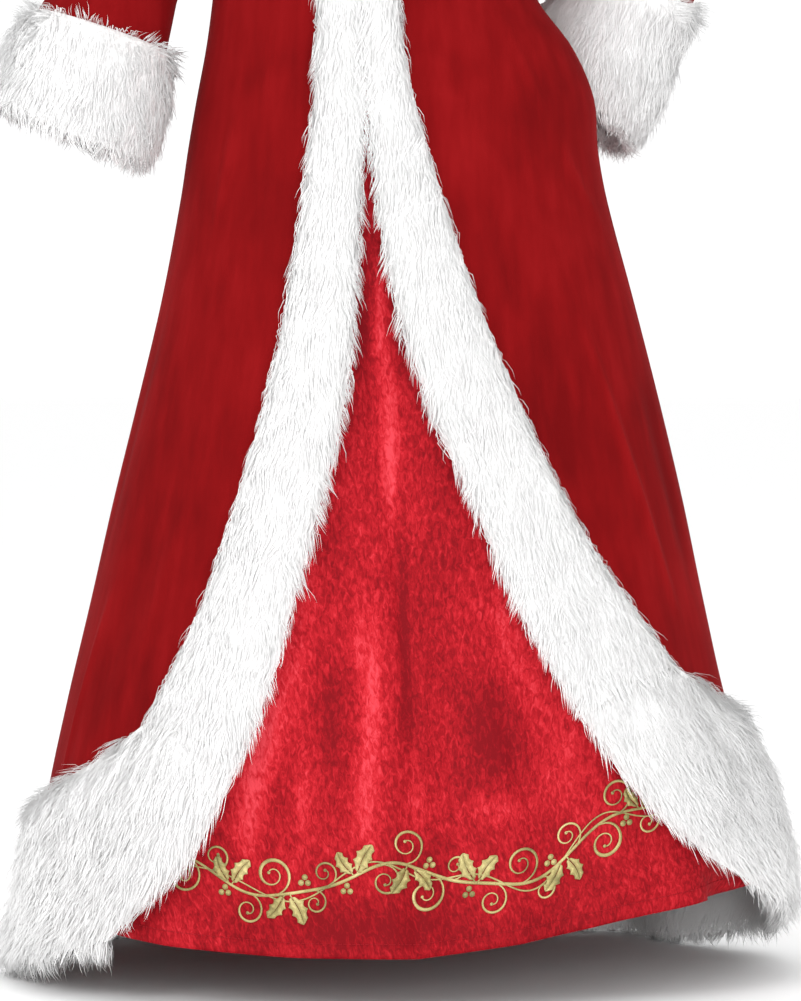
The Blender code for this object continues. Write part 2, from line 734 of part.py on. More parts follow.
def sleeve_rings(rings, sign):
    loop = armhole_loop(sign)
    first_axis = sleeve_axes(rings[0], sign)[0]
    result = [[point + first_axis * ARMHOLE_GAP for point, _, _ in loop]]
    for ring in rings:
        axis, outer, front = sleeve_axes(ring, sign)
        centre = Vector((sign * ring.out, -ring.forward, ring.height - SHOULDER_HEIGHT))
        points = []
        for _, facing, climb in loop:
            turn = math.radians(180.0 * (1 - climb)) * -facing
            reach_out = outer * ring.wide * math.cos(turn)
            reach_front = front * ring.deep * math.sin(turn)
            points.append(centre + reach_out + reach_front)
        result.append(points)
    return result


def tube_mesh(rings):
    """An open tube through rings of points, each ring drawn out of the one before."""
    mesh_data = bmesh.new()
    made = bmesh.ops.create_circle(mesh_data, segments=len(rings[0]), radius=1.0)
    verts = made["verts"]
    for vertex, point in zip(verts, rings[0]):
        vertex.co = point
    edges = mesh_data.edges[:]
    for ring in rings[1:]:
        drawn = bmesh.ops.extrude_edge_only(mesh_data, edges=edges)["geom"]
        fresh = {item for item in drawn if isinstance(item, bmesh.types.BMVert)}
        edges = [item for item in drawn if isinstance(item, bmesh.types.BMEdge)
                 and all(end in fresh for end in item.verts)]
        following = []
        for vertex in verts:
            partner = [edge.other_vert(vertex) for edge in vertex.link_edges
                       if edge.other_vert(vertex) in fresh]
            following.append(partner[0])
        verts = following
        for vertex, point in zip(verts, ring):
            vertex.co = point
    bmesh.ops.recalc_face_normals(mesh_data, faces=mesh_data.faces[:])
    return mesh_data


def outward_points(rings, lifts):
    """Points of tube rings moved straight away from each ring's centre."""
    moved = []
    for ring, lift in zip(rings, lifts):
        centre = sum(ring, Vector()) / len(ring)
        moved.append([point + (point - centre).normalized() * lift for point in ring])
    return moved


def make_sleeve(side, rings, collection, velvet, plush):
    sign = -1.0 if side == "left" else 1.0
    all_rings = sleeve_rings(rings, sign)
    for piece in SLEEVE_PIECES[side]:
        stretch = all_rings[piece.first:piece.last + 1]
        if piece.last < len(all_rings) - 1:
            stretch = shorten_last_row(stretch, SLEEVE_SEAM_GAP)
        make_cloth(piece.name, tube_mesh(stretch), collection, velvet[piece.name])

    covered = all_rings[CUFF_FIRST_RING[side]:]
    inner = outward_points(covered, [PLUSH_GAP] * len(covered))
    outer = outward_points(covered, [PLUSH_GAP + lift for lift in CUFF_PLUSH[side]])
    cuff_data = tube_mesh(inner + outer[::-1])
    bmesh.ops.bridge_loops(cuff_data, edges=[edge for edge in cuff_data.edges if edge.is_boundary])
    bmesh.ops.recalc_face_normals(cuff_data, faces=cuff_data.faces[:])
    finish_object("plush_cuff_" + side, cuff_data, collection, plush)


def main():
    for item in list(bpy.data.objects):
        bpy.data.objects.remove(item, do_unlink=True)
    collection = bpy.data.collections.new("christmas_costume_dress")
    bpy.context.scene.collection.children.link(collection)

    velvet = {}
    for place in ("yoke_front_left", "yoke_front_right", "yoke_back", "robe_front_left",
                  "robe_front_right", "robe_back", "sleeve_left", "sleeve_right_top", "sleeve_right_upper",
                  "sleeve_right_elbow", "sleeve_right_lower"):
        velvet[place] = new_material("velvet_" + place, VELVET_COLOUR, VELVET_ROUGHNESS)
    plush = {}
    for place in ("band_left", "band_right", "hem_left", "hem_back", "hem_right",
                  "cuff_left", "cuff_right"):
        plush[place] = new_material("plush_" + place, PLUSH_COLOUR, PLUSH_ROUGHNESS)
    crushed = new_material("crushed_velvet", PANEL_COLOUR, PANEL_ROUGHNESS)

    make_front("left", collection, velvet, plush)
    make_front("right", collection, velvet, plush)
    make_back(collection, velvet, plush)
    make_panel_piece("centre_panel", panel_grid(), collection, crushed)
    make_sleeve("left", LEFT_SLEEVE, collection, velvet, plush["cuff_left"])
    make_sleeve("right", RIGHT_SLEEVE, collection, velvet, plush["cuff_right"])


main()
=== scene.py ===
import math
from collections import namedtuple

import bmesh
import bpy
import numpy as np
from mathutils import Matrix, Vector, kdtree


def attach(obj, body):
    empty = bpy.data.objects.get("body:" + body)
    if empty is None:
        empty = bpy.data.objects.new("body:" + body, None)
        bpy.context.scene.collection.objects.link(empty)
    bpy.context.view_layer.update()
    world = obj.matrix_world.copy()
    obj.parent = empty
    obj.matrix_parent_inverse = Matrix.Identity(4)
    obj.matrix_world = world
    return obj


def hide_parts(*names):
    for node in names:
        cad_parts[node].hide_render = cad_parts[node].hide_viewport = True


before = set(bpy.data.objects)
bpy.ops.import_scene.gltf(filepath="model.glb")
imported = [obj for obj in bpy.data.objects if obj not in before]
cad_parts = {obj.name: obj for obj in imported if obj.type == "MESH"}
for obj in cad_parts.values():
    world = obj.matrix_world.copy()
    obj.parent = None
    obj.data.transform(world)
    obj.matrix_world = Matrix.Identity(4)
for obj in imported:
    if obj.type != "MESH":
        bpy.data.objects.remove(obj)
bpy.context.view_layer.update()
print("frame loaded,", len(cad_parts), "nodes")

# heights in every table are above the floor, as the dress is worn
Section = namedtuple("Section", "height left right front back")
Edge = namedtuple("Edge", "height leftIn leftOut rightIn rightOut rightSide")
HemLine = namedtuple("HemLine", "share plushTop hem")
Fold = namedtuple("Fold", "angle width depth top")
Crease = namedtuple("Crease", "fromAngle fromHeight toAngle toHeight width depth bow")
PanelHem = namedtuple("PanelHem", "angle hem")
Armhole = namedtuple("Armhole", "share across height")
Ring = namedtuple("Ring", "out forward height slope swing wide deep")


def rows(kind, *values):
    return [kind(*row) for row in values]


body = {
    "shoulderHeight": 1.475,
    "armpitHeight": 1.300,
    "neckPointHeight": 1.505,
    "shoulderTipHeight": 1.455,
    "neckHalfWidth": 0.080,
    "shoulderHalfWidth": 0.195,
    "frontNeckline": 1.430,
    "backNeckline": 1.488,
    "necklinePower": 2.2,
    "yokeHalfWidth": 0.225,
    "yokePower": 1.6,
    "sectionPower": 2.1,
    "clothThickness": 0.0016,
    "sections": rows(Section,
        (0, 0.381, 0.438, 0.298, 0.352),
        (0.08, 0.352, 0.431, 0.287, 0.336),
        (0.184, 0.34, 0.407, 0.272, 0.312),
        (0.289, 0.318, 0.374, 0.255, 0.286),
        (0.394, 0.293, 0.35, 0.234, 0.258),
        (0.499, 0.269, 0.328, 0.212, 0.23),
        (0.604, 0.243, 0.303, 0.19, 0.203),
        (0.709, 0.218, 0.276, 0.168, 0.178),
        (0.814, 0.198, 0.248, 0.149, 0.158),
        (0.867, 0.19, 0.2385, 0.14, 0.15),
        (0.919, 0.181, 0.2345, 0.132, 0.142),
        (0.972, 0.171, 0.212, 0.124, 0.134),
        (1.024, 0.164, 0.174, 0.118, 0.124),
        (1.085, 0.158, 0.156, 0.114, 0.11),
        (1.17, 0.154, 0.153, 0.12, 0.108),
        (1.25, 0.158, 0.158, 0.13, 0.118),
        (1.3, 0.162, 0.162, 0.124, 0.122),
        (1.36, 0.165, 0.165, 0.116, 0.12),
    ),
    # angles round the body from centre front, plus towards +X
    "edges": rows(Edge,
        (0, -62, -83, 92, 113, 125),
        (0.07, -52, -74, 82, 103, 120),
        (0.105, -45, -68, 77, 97.5, 117),
        (0.15, -36.5, -62, 63, 90, 113.5),
        (0.205, -31.4, -56, 53.9, 81, 110),
        (0.307, -23.6, -47.8, 43.8, 69, 103),
        (0.409, -18.4, -40, 34.5, 57.8, 97),
        (0.508, -13, -35.3, 27.2, 49.2, 93),
        (0.608, -7.4, -30.8, 17.6, 42.2, 90.5),
        (0.709, -4.8, -27.4, 9.4, 35, 90),
        (0.81, -3.6, -25, 3.6, 27.6, 90),
        (0.912, -1.8, -23.4, -0.6, 19.4, 90),
        (0.96, -2.2, -23.8, -2.2, 16.2, 90),
        (1.02, -3.2, -24.2, -3.2, 14.4, 90),
        (1.1, -2, -22, -2, 16.6, 90),
        (1.2, -0.6, -19.8, -0.6, 18.4, 90),
        (1.3, 0, -19, 0, 19, 90),
    ),
    # share is -1 at a front edge, 0 where its band ends and 1 at the side seam
    "leftHem": rows(HemLine,
        (-1, 0.25, 0.066),
        (-0.5, 0.272, 0.05),
        (0, 0.284, 0.037),
        (0.25, 0.236, 0.029),
        (0.6, 0.199, 0.022),
        (1, 0.18, 0.02),
    ),
    "rightHem": rows(HemLine,
        (-1, 0.292, 0.105),
        (-0.5, 0.322, 0.07),
        (0, 0.338, 0.048),
        (0.25, 0.303, 0.041),
        (0.6, 0.266, 0.03),
        (1, 0.224, 0.02),
    ),
    "backHem": rows(HemLine,
        (0, 0.224, 0.02),
        (0.2, 0.184, 0.006),
        (0.5, 0.166, 0.006),
        (0.8, 0.168, 0.01),
        (1, 0.18, 0.02),
    ),
    "foldGrowth": 1.25,
    "folds": rows(Fold,
        (-68, 7, 0.006, 0.9),
        (-56, 6, -0.005, 0.8),
        (60, 8, 0.008, 0.95),
        (74, 6, -0.007, 0.8),
        (108, 9, 0.014, 0.8),
        (122, 8, -0.014, 0.75),
        (137, 9, 0.022, 1),
        (152, 8, -0.016, 0.85),
        (168, 10, 0.024, 1.05),
        (186, 9, -0.016, 0.8),
        (202, 10, 0.02, 0.95),
        (218, 8, -0.014, 0.8),
        (234, 9, 0.018, 0.9),
        (249, 7, -0.01, 0.7),
    ),
    # the hollow behind the right hip, where the cuff lies
    "hollow": {"angle": 130.0, "width": 20.0, "height": 0.975, "reach": 0.085, "depth": 0.016},
    # soft troughs and ridges; bow bends a crease sideways in metres
    "creases": rows(Crease,
        (62, 0.7, 72, 0.375, 0.006, 0.0042, 0.004),
        (50, 0.69, 61, 0.42, 0.026, -0.0055, 0.01),
        (78, 0.64, 80, 0.4, 0.012, -0.004, 0),
        (38, 0.905, 62, 0.8, 0.011, 0.0022, 0.01),
        (44, 0.88, 70, 0.77, 0.01, -0.002, 0.008),
        (66, 0.885, 78, 0.775, 0.006, 0.0026, 0.004),
        (58, 0.985, 63, 0.89, 0.006, 0.0024, 0.002),
        (26, 0.975, 48, 0.94, 0.009, -0.002, 0.004),
        (24, 0.93, 40, 0.905, 0.008, 0.0016, 0.002),
        (40, 0.82, 47, 0.69, 0.014, -0.0028, -0.004),
        (-47, 0.985, -42, 0.905, 0.0055, 0.0018, 0),
        (-54, 0.915, -57, 0.77, 0.0065, 0.0026, 0.003),
        (-38, 0.93, -42, 0.74, 0.01, -0.0018, 0.004),
        (-34, 0.96, -56, 0.925, 0.009, -0.0016, 0.004),
        (-68, 0.42, -73, 0.19, 0.0055, 0.0034, 0.003),
        (-60, 0.47, -66, 0.25, 0.016, -0.003, 0.002),
        (-50, 0.5, -56, 0.33, 0.01, 0.0018, 0.002),
        (-76, 0.72, -79, 0.43, 0.011, -0.0022, 0.004),
        (30, 1.25, 62, 1.19, 0.012, 0.0028, 0.006),
        (34, 1.14, 66, 1.11, 0.01, -0.0024, 0.004),
        (28, 1.085, 70, 1.07, 0.009, 0.002, 0.004),
        (-30, 1.24, -64, 1.18, 0.012, 0.0026, -0.006),
        (-32, 1.12, -68, 1.09, 0.01, -0.0022, -0.004),
        (112, 1.15, 150, 1.11, 0.011, -0.0026, 0.004),
        (118, 1.09, 160, 1.07, 0.01, 0.0024, 0.006),
        (206, 1.13, 250, 1.16, 0.011, -0.0024, 0.004),
        (200, 1.08, 246, 1.1, 0.01, 0.0022, 0.004),
        (150, 0.93, 143, 0.7, 0.012, 0.0034, 0.006),
        (178, 0.96, 181, 0.64, 0.011, 0.003, 0.004),
        (212, 0.9, 214, 0.56, 0.01, 0.003, 0.006),
        (238, 0.78, 241, 0.42, 0.009, 0.003, 0.004),
        (162, 0.52, 160, 0.26, 0.012, -0.004, 0.004),
        (194, 0.48, 196, 0.22, 0.01, 0.0036, 0.003),
        (226, 0.4, 229, 0.2, 0.012, -0.0036, 0.003),
        (130, 0.64, 128, 0.33, 0.009, 0.0034, 0.005),
    ),
    "armhole": rows(Armhole,
        (0, 0.162, 1.3),
        (0.15, 0.156, 1.318),
        (0.35, 0.152, 1.35),
        (0.6, 0.158, 1.396),
        (0.8, 0.173, 1.431),
        (1, 0.195, 1.455),
    ),
}
floorZ = -body["shoulderHeight"]
mergeDistance = 0.00005


def mix(start, end, share):
    return start + (end - start) * share


def limit(value, low=0.0, high=1.0):
    return np.clip(value, low, high)


def ease(value):
    value = limit(value)
    return value * value * (3 - 2 * value)


def columnOf(table, name):
    return np.array([getattr(row, name) for row in table], dtype=float)


def readStraight(table, name, at):
    return np.interp(at, columnOf(table, table[0]._fields[0]), columnOf(table, name))


def readSmooth(table, name, at):  # a smooth curve through a table's rows
    keys = columnOf(table, table[0]._fields[0])
    values = columnOf(table, name)
    slopes = np.empty_like(values)
    slopes[1:-1] = (values[2:] - values[:-2]) / (keys[2:] - keys[:-2])
    slopes[0] = (values[1] - values[0]) / (keys[1] - keys[0])
    slopes[-1] = (values[-1] - values[-2]) / (keys[-1] - keys[-2])
    at = np.clip(at, keys[0], keys[-1])
    index = np.clip(np.searchsorted(keys, at) - 1, 0, len(keys) - 2)
    span = keys[index + 1] - keys[index]
    t = (at - keys[index]) / span
    return (
        values[index] * (2 * t**3 - 3 * t**2 + 1)
        + slopes[index] * span * (t**3 - 2 * t**2 + t)
        + values[index + 1] * (3 * t**2 - 2 * t**3)
        + slopes[index + 1] * span * (t**3 - t**2)
    )


def unit(vectors):
    return vectors / np.maximum(np.linalg.norm(vectors, axis=-1, keepdims=True), 1e-12)


def turnBetween(angle, centre):
    return (angle - centre + 180.0) % 360.0 - 180.0


def foldPush(folds, angle, height, growth):
    push = np.zeros_like(angle)
    for fold in folds:
        share = limit((fold.top - height) / fold.top)
        push += fold.depth * np.exp(-((turnBetween(angle, fold.angle) / fold.width) ** 2)) * share**growth
    return push


def creasePush(creases, angle, height, radius):
    push = np.zeros_like(angle)
    perDegree = radius * math.pi / 180
    for crease in creases:
        across = turnBetween(angle, crease.fromAngle) * perDegree
        along = height - crease.fromHeight
        runAcross = turnBetween(crease.toAngle, crease.fromAngle) * perDegree
        runAlong = crease.toHeight - crease.fromHeight
        runSquared = runAcross**2 + runAlong**2
        t = (across * runAcross + along * runAlong) / runSquared
        swell = np.sin(np.pi * limit(t))  # 0 at both ends of a crease
        aside = (across * runAlong - along * runAcross) / np.sqrt(runSquared) - crease.bow * swell
        push += crease.depth * np.exp(-((aside / crease.width) ** 2)) * swell**0.8
    return push


def robeSpot(angle, height):  # the robe's outer face below the armpits
    angle, height = np.broadcast_arrays(np.asarray(angle, float), np.asarray(height, float))
    sine, cosine = np.sin(np.radians(angle)), np.cos(np.radians(angle))
    sections = body["sections"]
    wide = np.where(sine > 0, readSmooth(sections, "right", height), readSmooth(sections, "left", height))
    deep = np.where(cosine > 0, readSmooth(sections, "front", height), readSmooth(sections, "back", height))
    power = body["sectionPower"]
    radius = ((np.abs(sine) / wide) ** power + (np.abs(cosine) / deep) ** power) ** (-1 / power)
    hollow = body["hollow"]
    across = turnBetween(angle, hollow["angle"]) / hollow["width"]
    along = (height - hollow["height"]) / hollow["reach"]
    push = foldPush(body["folds"], angle, height, body["foldGrowth"])
    push = push - hollow["depth"] * np.exp(-(across**2) - along**2)
    push = push + creasePush(body["creases"], angle, height, (wide + deep) / 2)
    radius = radius + push
    return np.stack([radius * sine, -radius * cosine, height + floorZ], axis=-1)


def shoulderLine(across):
    fall = (body["neckPointHeight"] - body["shoulderTipHeight"]) / (
        body["shoulderHalfWidth"] - body["neckHalfWidth"])
    return body["neckPointHeight"] - (np.abs(across) - body["neckHalfWidth"]) * fall


def yokePoint(across, height, facing):  # facing is -1 over the chest, 1 over the shoulder blades
    armpit = body["armpitHeight"]
    rise = limit((height - armpit) / (shoulderLine(across) - armpit))
    grow = ease((height - armpit) / (body["shoulderTipHeight"] - armpit))
    wide = mix(readSmooth(body["sections"], "right", armpit), body["yokeHalfWidth"], grow)
    deep = readSmooth(body["sections"], "front" if facing < 0 else "back", armpit)
    power, bulge = body["sectionPower"], body["yokePower"]
    edge = limit(1 - (np.abs(across) / wide) ** power) ** (1 / power)
    slack = (1 - rise**bulge) ** (1 / bulge)
    depth = deep * edge * slack
    return np.stack([across + 0 * depth, facing * depth, height + floorZ + 0 * depth], axis=-1)


def yokeGrid(shareOut, climbs, facing):  # rows from the shoulder down to the armpit
    climb = np.array(climbs)[:, None]
    across = shareOut[None, :] * readSmooth(body["armhole"], "across", climb)
    neckline = body["frontNeckline"] if facing < 0 else body["backNeckline"]
    reach = shareOut[None, :] * body["shoulderHalfWidth"]
    share = np.abs(reach) / body["neckHalfWidth"]
    curve = mix(neckline, body["neckPointHeight"], np.minimum(share, 1) ** body["necklinePower"])
    crest = np.where(share < 1, curve, shoulderLine(reach))
    armpit = body["armpitHeight"]
    risen = (readSmooth(body["armhole"], "height", climb) - armpit) / (body["shoulderTipHeight"] - armpit)
    return yokePoint(across, mix(armpit, crest, risen), facing)


def frontEdge(side, height):
    left = readSmooth(body["edges"], "leftIn", height)
    return left if side == "left" else np.maximum(readSmooth(body["edges"], "rightIn", height), left)


def clothAngle(side, share, height):  # share is 0 to 1 over the back, and as in the hem tables over a front
    if side == "back":
        return mix(readSmooth(body["edges"], "rightSide", height), 270.0, share)
    inner = frontEdge(side, height)
    outer = readSmooth(body["edges"], side + "Out", height)
    seam = -90.0 + 0 * height if side == "left" else readSmooth(body["edges"], "rightSide", height)
    return np.where(share <= 0, mix(inner, outer, share + 1), mix(outer, seam, share))


def rowHeights(plushTop, hem, downBody, downHem):  # body rows, then the rows under the hem's plush
    bodyRows = mix(body["armpitHeight"], plushTop[None, :], np.array(downBody)[:, None])
    hemRows = mix(plushTop[None, :], hem[None, :], np.array(downHem)[:, None])
    return np.concatenate([bodyRows, hemRows])


def gridNormals(points):
    across = np.gradient(points, axis=1)
    down = np.gradient(points, axis=0)
    return unit(np.cross(across, -down))


def steps(count, first=0):
    return [step / count for step in range(first, count + 1)]


def clothGrid(side, shares, climbs, downBody, downHem):  # a front or the back, rows from the top down
    shares = np.array(shares, dtype=float)
    table = body[side + "Hem"]
    heights = rowHeights(readStraight(table, "plushTop", shares), readStraight(table, "hem", shares),
                         downBody, downHem)
    points = robeSpot(clothAngle(side, shares[None, :] + 0 * heights, heights), heights)
    if climbs:
        armpit = body["armpitHeight"]
        across = robeSpot(clothAngle(side, shares, armpit + 0 * shares), armpit)[..., 0]
        wide = readSmooth(body["sections"], "left" if side == "left" else "right", armpit)
        facing = 1 if side == "back" else -1
        points = np.concatenate([yokeGrid(across / wide, climbs, facing), points])
    return points[:, ::-1] if side == "left" else points


class Wiring:
    # a new material, with short calls for adding and joining its nodes

    def __init__(self, name, roughness, specular):
        self.material = bpy.data.materials.new(name)
        self.material.use_nodes = True
        self.nodes = self.material.node_tree.nodes
        self.links = self.material.node_tree.links
        self.shader = self.nodes["Principled BSDF"].inputs
        self.shader["Roughness"].default_value = roughness
        self.shader["Specular IOR Level"].default_value = specular

    def put(self, kind, **values):
        node = self.nodes.new(kind)
        for name, value in values.items():
            setattr(node, name, value)
        return node

    def place(self):
        return self.put("ShaderNodeTexCoord").outputs["Object"]

    def attribute(self, name):
        return self.put("ShaderNodeAttribute", attribute_name=name).outputs["Fac"]

    def scaled(self, source, scale):
        node = self.put("ShaderNodeMapping")
        node.inputs["Scale"].default_value = scale
        self.links.new(source, node.inputs["Vector"])
        return node.outputs["Vector"]

    def noise(self, source, scale, detail=2.0, roughness=0.5, distortion=0.0):
        node = self.put("ShaderNodeTexNoise")
        node.inputs["Scale"].default_value = scale
        node.inputs["Detail"].default_value = detail
        node.inputs["Roughness"].default_value = roughness
        node.inputs["Distortion"].default_value = distortion
        self.links.new(source, node.inputs["Vector"])
        return node.outputs["Fac"]

    def maths(self, operation, first, second):
        node = self.put("ShaderNodeMath", operation=operation)
        for socket, value in zip(node.inputs, (first, second)):
            if isinstance(value, (int, float)):
                socket.default_value = value
            else:
                self.links.new(value, socket)
        return node.outputs[0]

    def blend(self, *parts):  # a sum of values, each times its share
        total = None
        for value, share in parts:
            part = self.maths("MULTIPLY", value, share)
            total = part if total is None else self.maths("ADD", total, part)
        return total

    def colour(self, source, stops):
        node = self.put("ShaderNodeValToRGB")
        elements = node.color_ramp.elements
        while len(elements) < len(stops):
            elements.new(1.0)
        for element, (position, colour) in zip(elements, stops):
            element.position = position
            element.color = (*colour, 1.0)
        self.links.new(source, node.inputs["Fac"])
        self.links.new(node.outputs["Color"], self.shader["Base Color"])

    def bump(self, source, strength, distance):
        node = self.put("ShaderNodeBump")
        node.inputs["Strength"].default_value = strength
        node.inputs["Distance"].default_value = distance
        self.links.new(source, node.inputs["Height"])
        for link in list(self.links):
            if link.to_socket == self.shader["Normal"]:
                self.links.new(link.from_socket, node.inputs["Normal"])
        self.links.new(node.outputs["Normal"], self.shader["Normal"])


robeVelvet = {
    "roughness": 0.90,
    "specular": 0.04,
    "sheen": 0.05,
    "sheenRoughness": 0.40,
    "sheenTint": (0.95, 0.10, 0.12, 1.0),
    "streakScale": (55.0, 55.0, 5.0),
    "patchScale": 7.0,
    "napScale": 1500.0,
    "shares": {"streaks": 0.45, "patches": 0.55, "nap": 0.10, "paintedCreaseLight": 0.13},
    "napBump": (0.25, 0.0006),
    "streakBump": (0.20, 0.0015),
    # darker to lighter red; the pile's own streaks and patches and the painted crease light and shade move
    # the colour along these stops
    "colours": (
        (0.30, (0.128, 0.0026, 0.0034)),
        (0.50, (0.180, 0.0036, 0.0046)),
        (0.72, (0.236, 0.0060, 0.0075)),
    ),
}


def makeRobeVelvet():
    look, shares = robeVelvet, robeVelvet["shares"]
    wiring = Wiring("robeVelvet", look["roughness"], look["specular"])
    wiring.shader["Sheen Weight"].default_value = look["sheen"]
    wiring.shader["Sheen Roughness"].default_value = look["sheenRoughness"]
    wiring.shader["Sheen Tint"].default_value = look["sheenTint"]
    place = wiring.place()
    streaks = wiring.noise(wiring.scaled(place, look["streakScale"]), 1.0, 3.0, 0.55)
    patches = wiring.noise(place, look["patchScale"], 3.0, 0.5)
    nap = wiring.noise(place, look["napScale"], 1.0)
    evenNap = wiring.maths("SUBTRACT", nap, 0.5)
    # painted light and shade: the crease share lightens the red on crease ridges and darkens it in crease
    # hollows
    blend = wiring.blend((streaks, shares["streaks"]), (patches, shares["patches"]),
                         (evenNap, shares["nap"]), (wiring.attribute("paintedCreaseLight"), shares["paintedCreaseLight"]))
    wiring.colour(blend, look["colours"])
    wiring.bump(nap, *look["napBump"])
    wiring.bump(streaks, *look["streakBump"])
    return wiring.material


crushedVelvet = {
    "roughness": 0.62,
    "specular": 0.05,
    "clusterScale": (20.0, 9.0, 1.0),
    "fleckScale": (250.0, 105.0, 1.0),
    "fineScale": (700.0, 320.0, 1.0),
    "shares": {"clusters": 0.27, "glintFlecks": 0.66, "fine": 0.10, "paintedPanelLight": 0.19},
    "fineBump": (0.20, 0.0006),
    "fleckBump": (0.30, 0.0016),
    # dark to bright red: the lowest stop takes the painted shade, the highest stops the painted glints and
    # highlights, over the pile's own patchy red
    "colours": (
        (0.38, (0.180, 0.0040, 0.0075)),
        (0.51, (0.300, 0.0065, 0.0115)),
        (0.62, (0.450, 0.0140, 0.0220)),
        (0.78, (0.620, 0.0480, 0.0640)),
    ),
}


def makeCrushedVelvet():
    look, shares = crushedVelvet, crushedVelvet["shares"]
    wiring = Wiring("crushedVelvet", look["roughness"], look["specular"])
    flat = wiring.put("ShaderNodeUVMap", uv_map="cloth").outputs["UV"]
    clusters = wiring.noise(wiring.scaled(flat, look["clusterScale"]), 1.0, 3.0, 0.55, 0.4)
    # the crushed pile's fine crinkle; where it runs bright it paints the pile's glints into the colour
    glintFlecks = wiring.noise(wiring.scaled(flat, look["fleckScale"]), 1.0, 3.0, 0.62, 0.9)
    fine = wiring.noise(wiring.scaled(flat, look["fineScale"]), 1.0, 2.0, 0.6, 0.2)
    # the attribute read last adds painted highlights and painted shade placed one by one on the panel
    blend = wiring.blend((clusters, shares["clusters"]), (glintFlecks, shares["glintFlecks"]),
                         (fine, shares["fine"]), (wiring.attribute("paintedPanelLight"), shares["paintedPanelLight"]))
    wiring.colour(blend, look["colours"])
    wiring.bump(fine, *look["fineBump"])
    wiring.bump(glintFlecks, *look["fleckBump"])
    return wiring.material


plushPile = {
    "root": (0.900, 0.897, 0.892),
    "body": (0.950, 0.948, 0.945),
    "tip": (0.975, 0.974, 0.972),
    "roughness": 0.90,
    "hairSpecular": 0.12,
    "groundSpecular": 0.10,
    "sheen": 0.05,
    "reachShare": 0.75,
    "tintShare": 0.25,
    "tuftScale": (260.0, 260.0, 60.0),
    "tuftBump": (0.6, 0.003),
}


def makePlushHair():
    look = plushPile
    wiring = Wiring("plushHair", look["roughness"], look["hairSpecular"])
    wiring.shader["Sheen Weight"].default_value = look["sheen"]
    blend = wiring.blend((wiring.attribute("reach"), look["reachShare"]),
                         (wiring.attribute("tint"), look["tintShare"]))
    wiring.colour(blend, ((0.05, look["root"]), (0.45, look["body"]), (0.90, look["tip"])))
    return wiring.material


def makePlushGround():
    look = plushPile
    wiring = Wiring("plushGround", look["roughness"], look["groundSpecular"])
    tufts = wiring.noise(wiring.scaled(wiring.place(), look["tuftScale"]), 1.0, 3.0, 0.6)
    wiring.colour(tufts, ((0.35, look["root"]), (0.65, look["body"])))
    wiring.bump(tufts, *look["tuftBump"])
    return wiring.material


goldPrint = {
    "roughness": 0.45,
    "specular": 0.5,
    "metallic": 0.35,
    "sweepScale": 34.0,
    "sweepShare": 0.8,
    "grainScale": 900.0,
    "grainShare": 0.2,
    "grainBump": (0.3, 0.0004),
    "colours": (
        (0.35, (0.180, 0.160, 0.055)),
        (0.50, (0.370, 0.310, 0.115)),
        (0.66, (0.540, 0.460, 0.200)),
    ),
}


def makeGoldPrint():
    look = goldPrint
    wiring = Wiring("goldPrint", look["roughness"], look["specular"])
    wiring.shader["Metallic"].default_value = look["metallic"]
    place = wiring.place()
    sweep = wiring.noise(place, look["sweepScale"], 2.0)
    grain = wiring.noise(place, look["grainScale"], 1.0)
    wiring.colour(wiring.blend((sweep, look["sweepShare"]), (grain, look["grainShare"])), look["colours"])
    wiring.bump(grain, *look["grainBump"])
    return wiring.material


thread = {"colour": (0.300, 0.006, 0.012, 1.0), "roughness": 0.70, "specular": 0.15}


def makeThread():
    wiring = Wiring("thread", thread["roughness"], thread["specular"])
    wiring.shader["Base Color"].default_value = thread["colour"]
    return wiring.material


finishes = {
    "robe": makeRobeVelvet(),
    "panel": makeCrushedVelvet(),
    "hair": makePlushHair(),
    "ground": makePlushGround(),
    "gold": makeGoldPrint(),
    "thread": makeThread(),
}
print("materials made")


def addObject(name, data):
    made = bpy.data.objects.new(name, data)
    bpy.context.scene.collection.objects.link(made)
    return made


def addPiece(name, data):
    piece = addObject(name, data)
    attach(piece, "root")
    return piece


def finishPiece(name, mesh, material):
    data = bpy.data.meshes.new(name)
    mesh.to_mesh(data)
    mesh.free()
    data.materials.append(material)
    data.shade_smooth()
    return addPiece(name, data)


def gridMesh(points, cloth=None):  # rows run from the top down, columns to the viewer's right
    rows, columns = points.shape[:2]
    mesh = bmesh.new()
    bmesh.ops.create_grid(mesh, x_segments=columns - 1, y_segments=rows - 1, size=1.0)
    mesh.verts.ensure_lookup_table()
    for vertex, place in zip(mesh.verts, points[::-1].reshape(-1, 3)):
        vertex.co = place
    if cloth is not None:
        layer = mesh.loops.layers.uv.new("cloth")
        flat = cloth[::-1].reshape(-1, 2)
        for face in mesh.faces:
            for loop in face.loops:
                loop[layer].uv = flat[loop.vert.index]
    return mesh


def cellAreas(points):
    across = points[:-1, 1:] - points[:-1, :-1]
    down = points[1:, :-1] - points[:-1, :-1]
    return np.linalg.norm(np.cross(across, down), axis=-1)


def patchArea(points):
    return float(cellAreas(points).sum())


def clothMap(points):  # widths and lengths along the cloth, in metres
    across = np.linalg.norm(np.diff(points, axis=1), axis=-1)
    down = np.linalg.norm(np.diff(points, axis=0), axis=-1)
    u = np.concatenate([np.zeros((points.shape[0], 1)), np.cumsum(across, axis=1)], axis=1)
    v = np.concatenate([np.zeros((1, points.shape[1])), np.cumsum(down, axis=0)], axis=0)
    return np.stack([u - u.mean(axis=1, keepdims=True), -v], axis=-1)


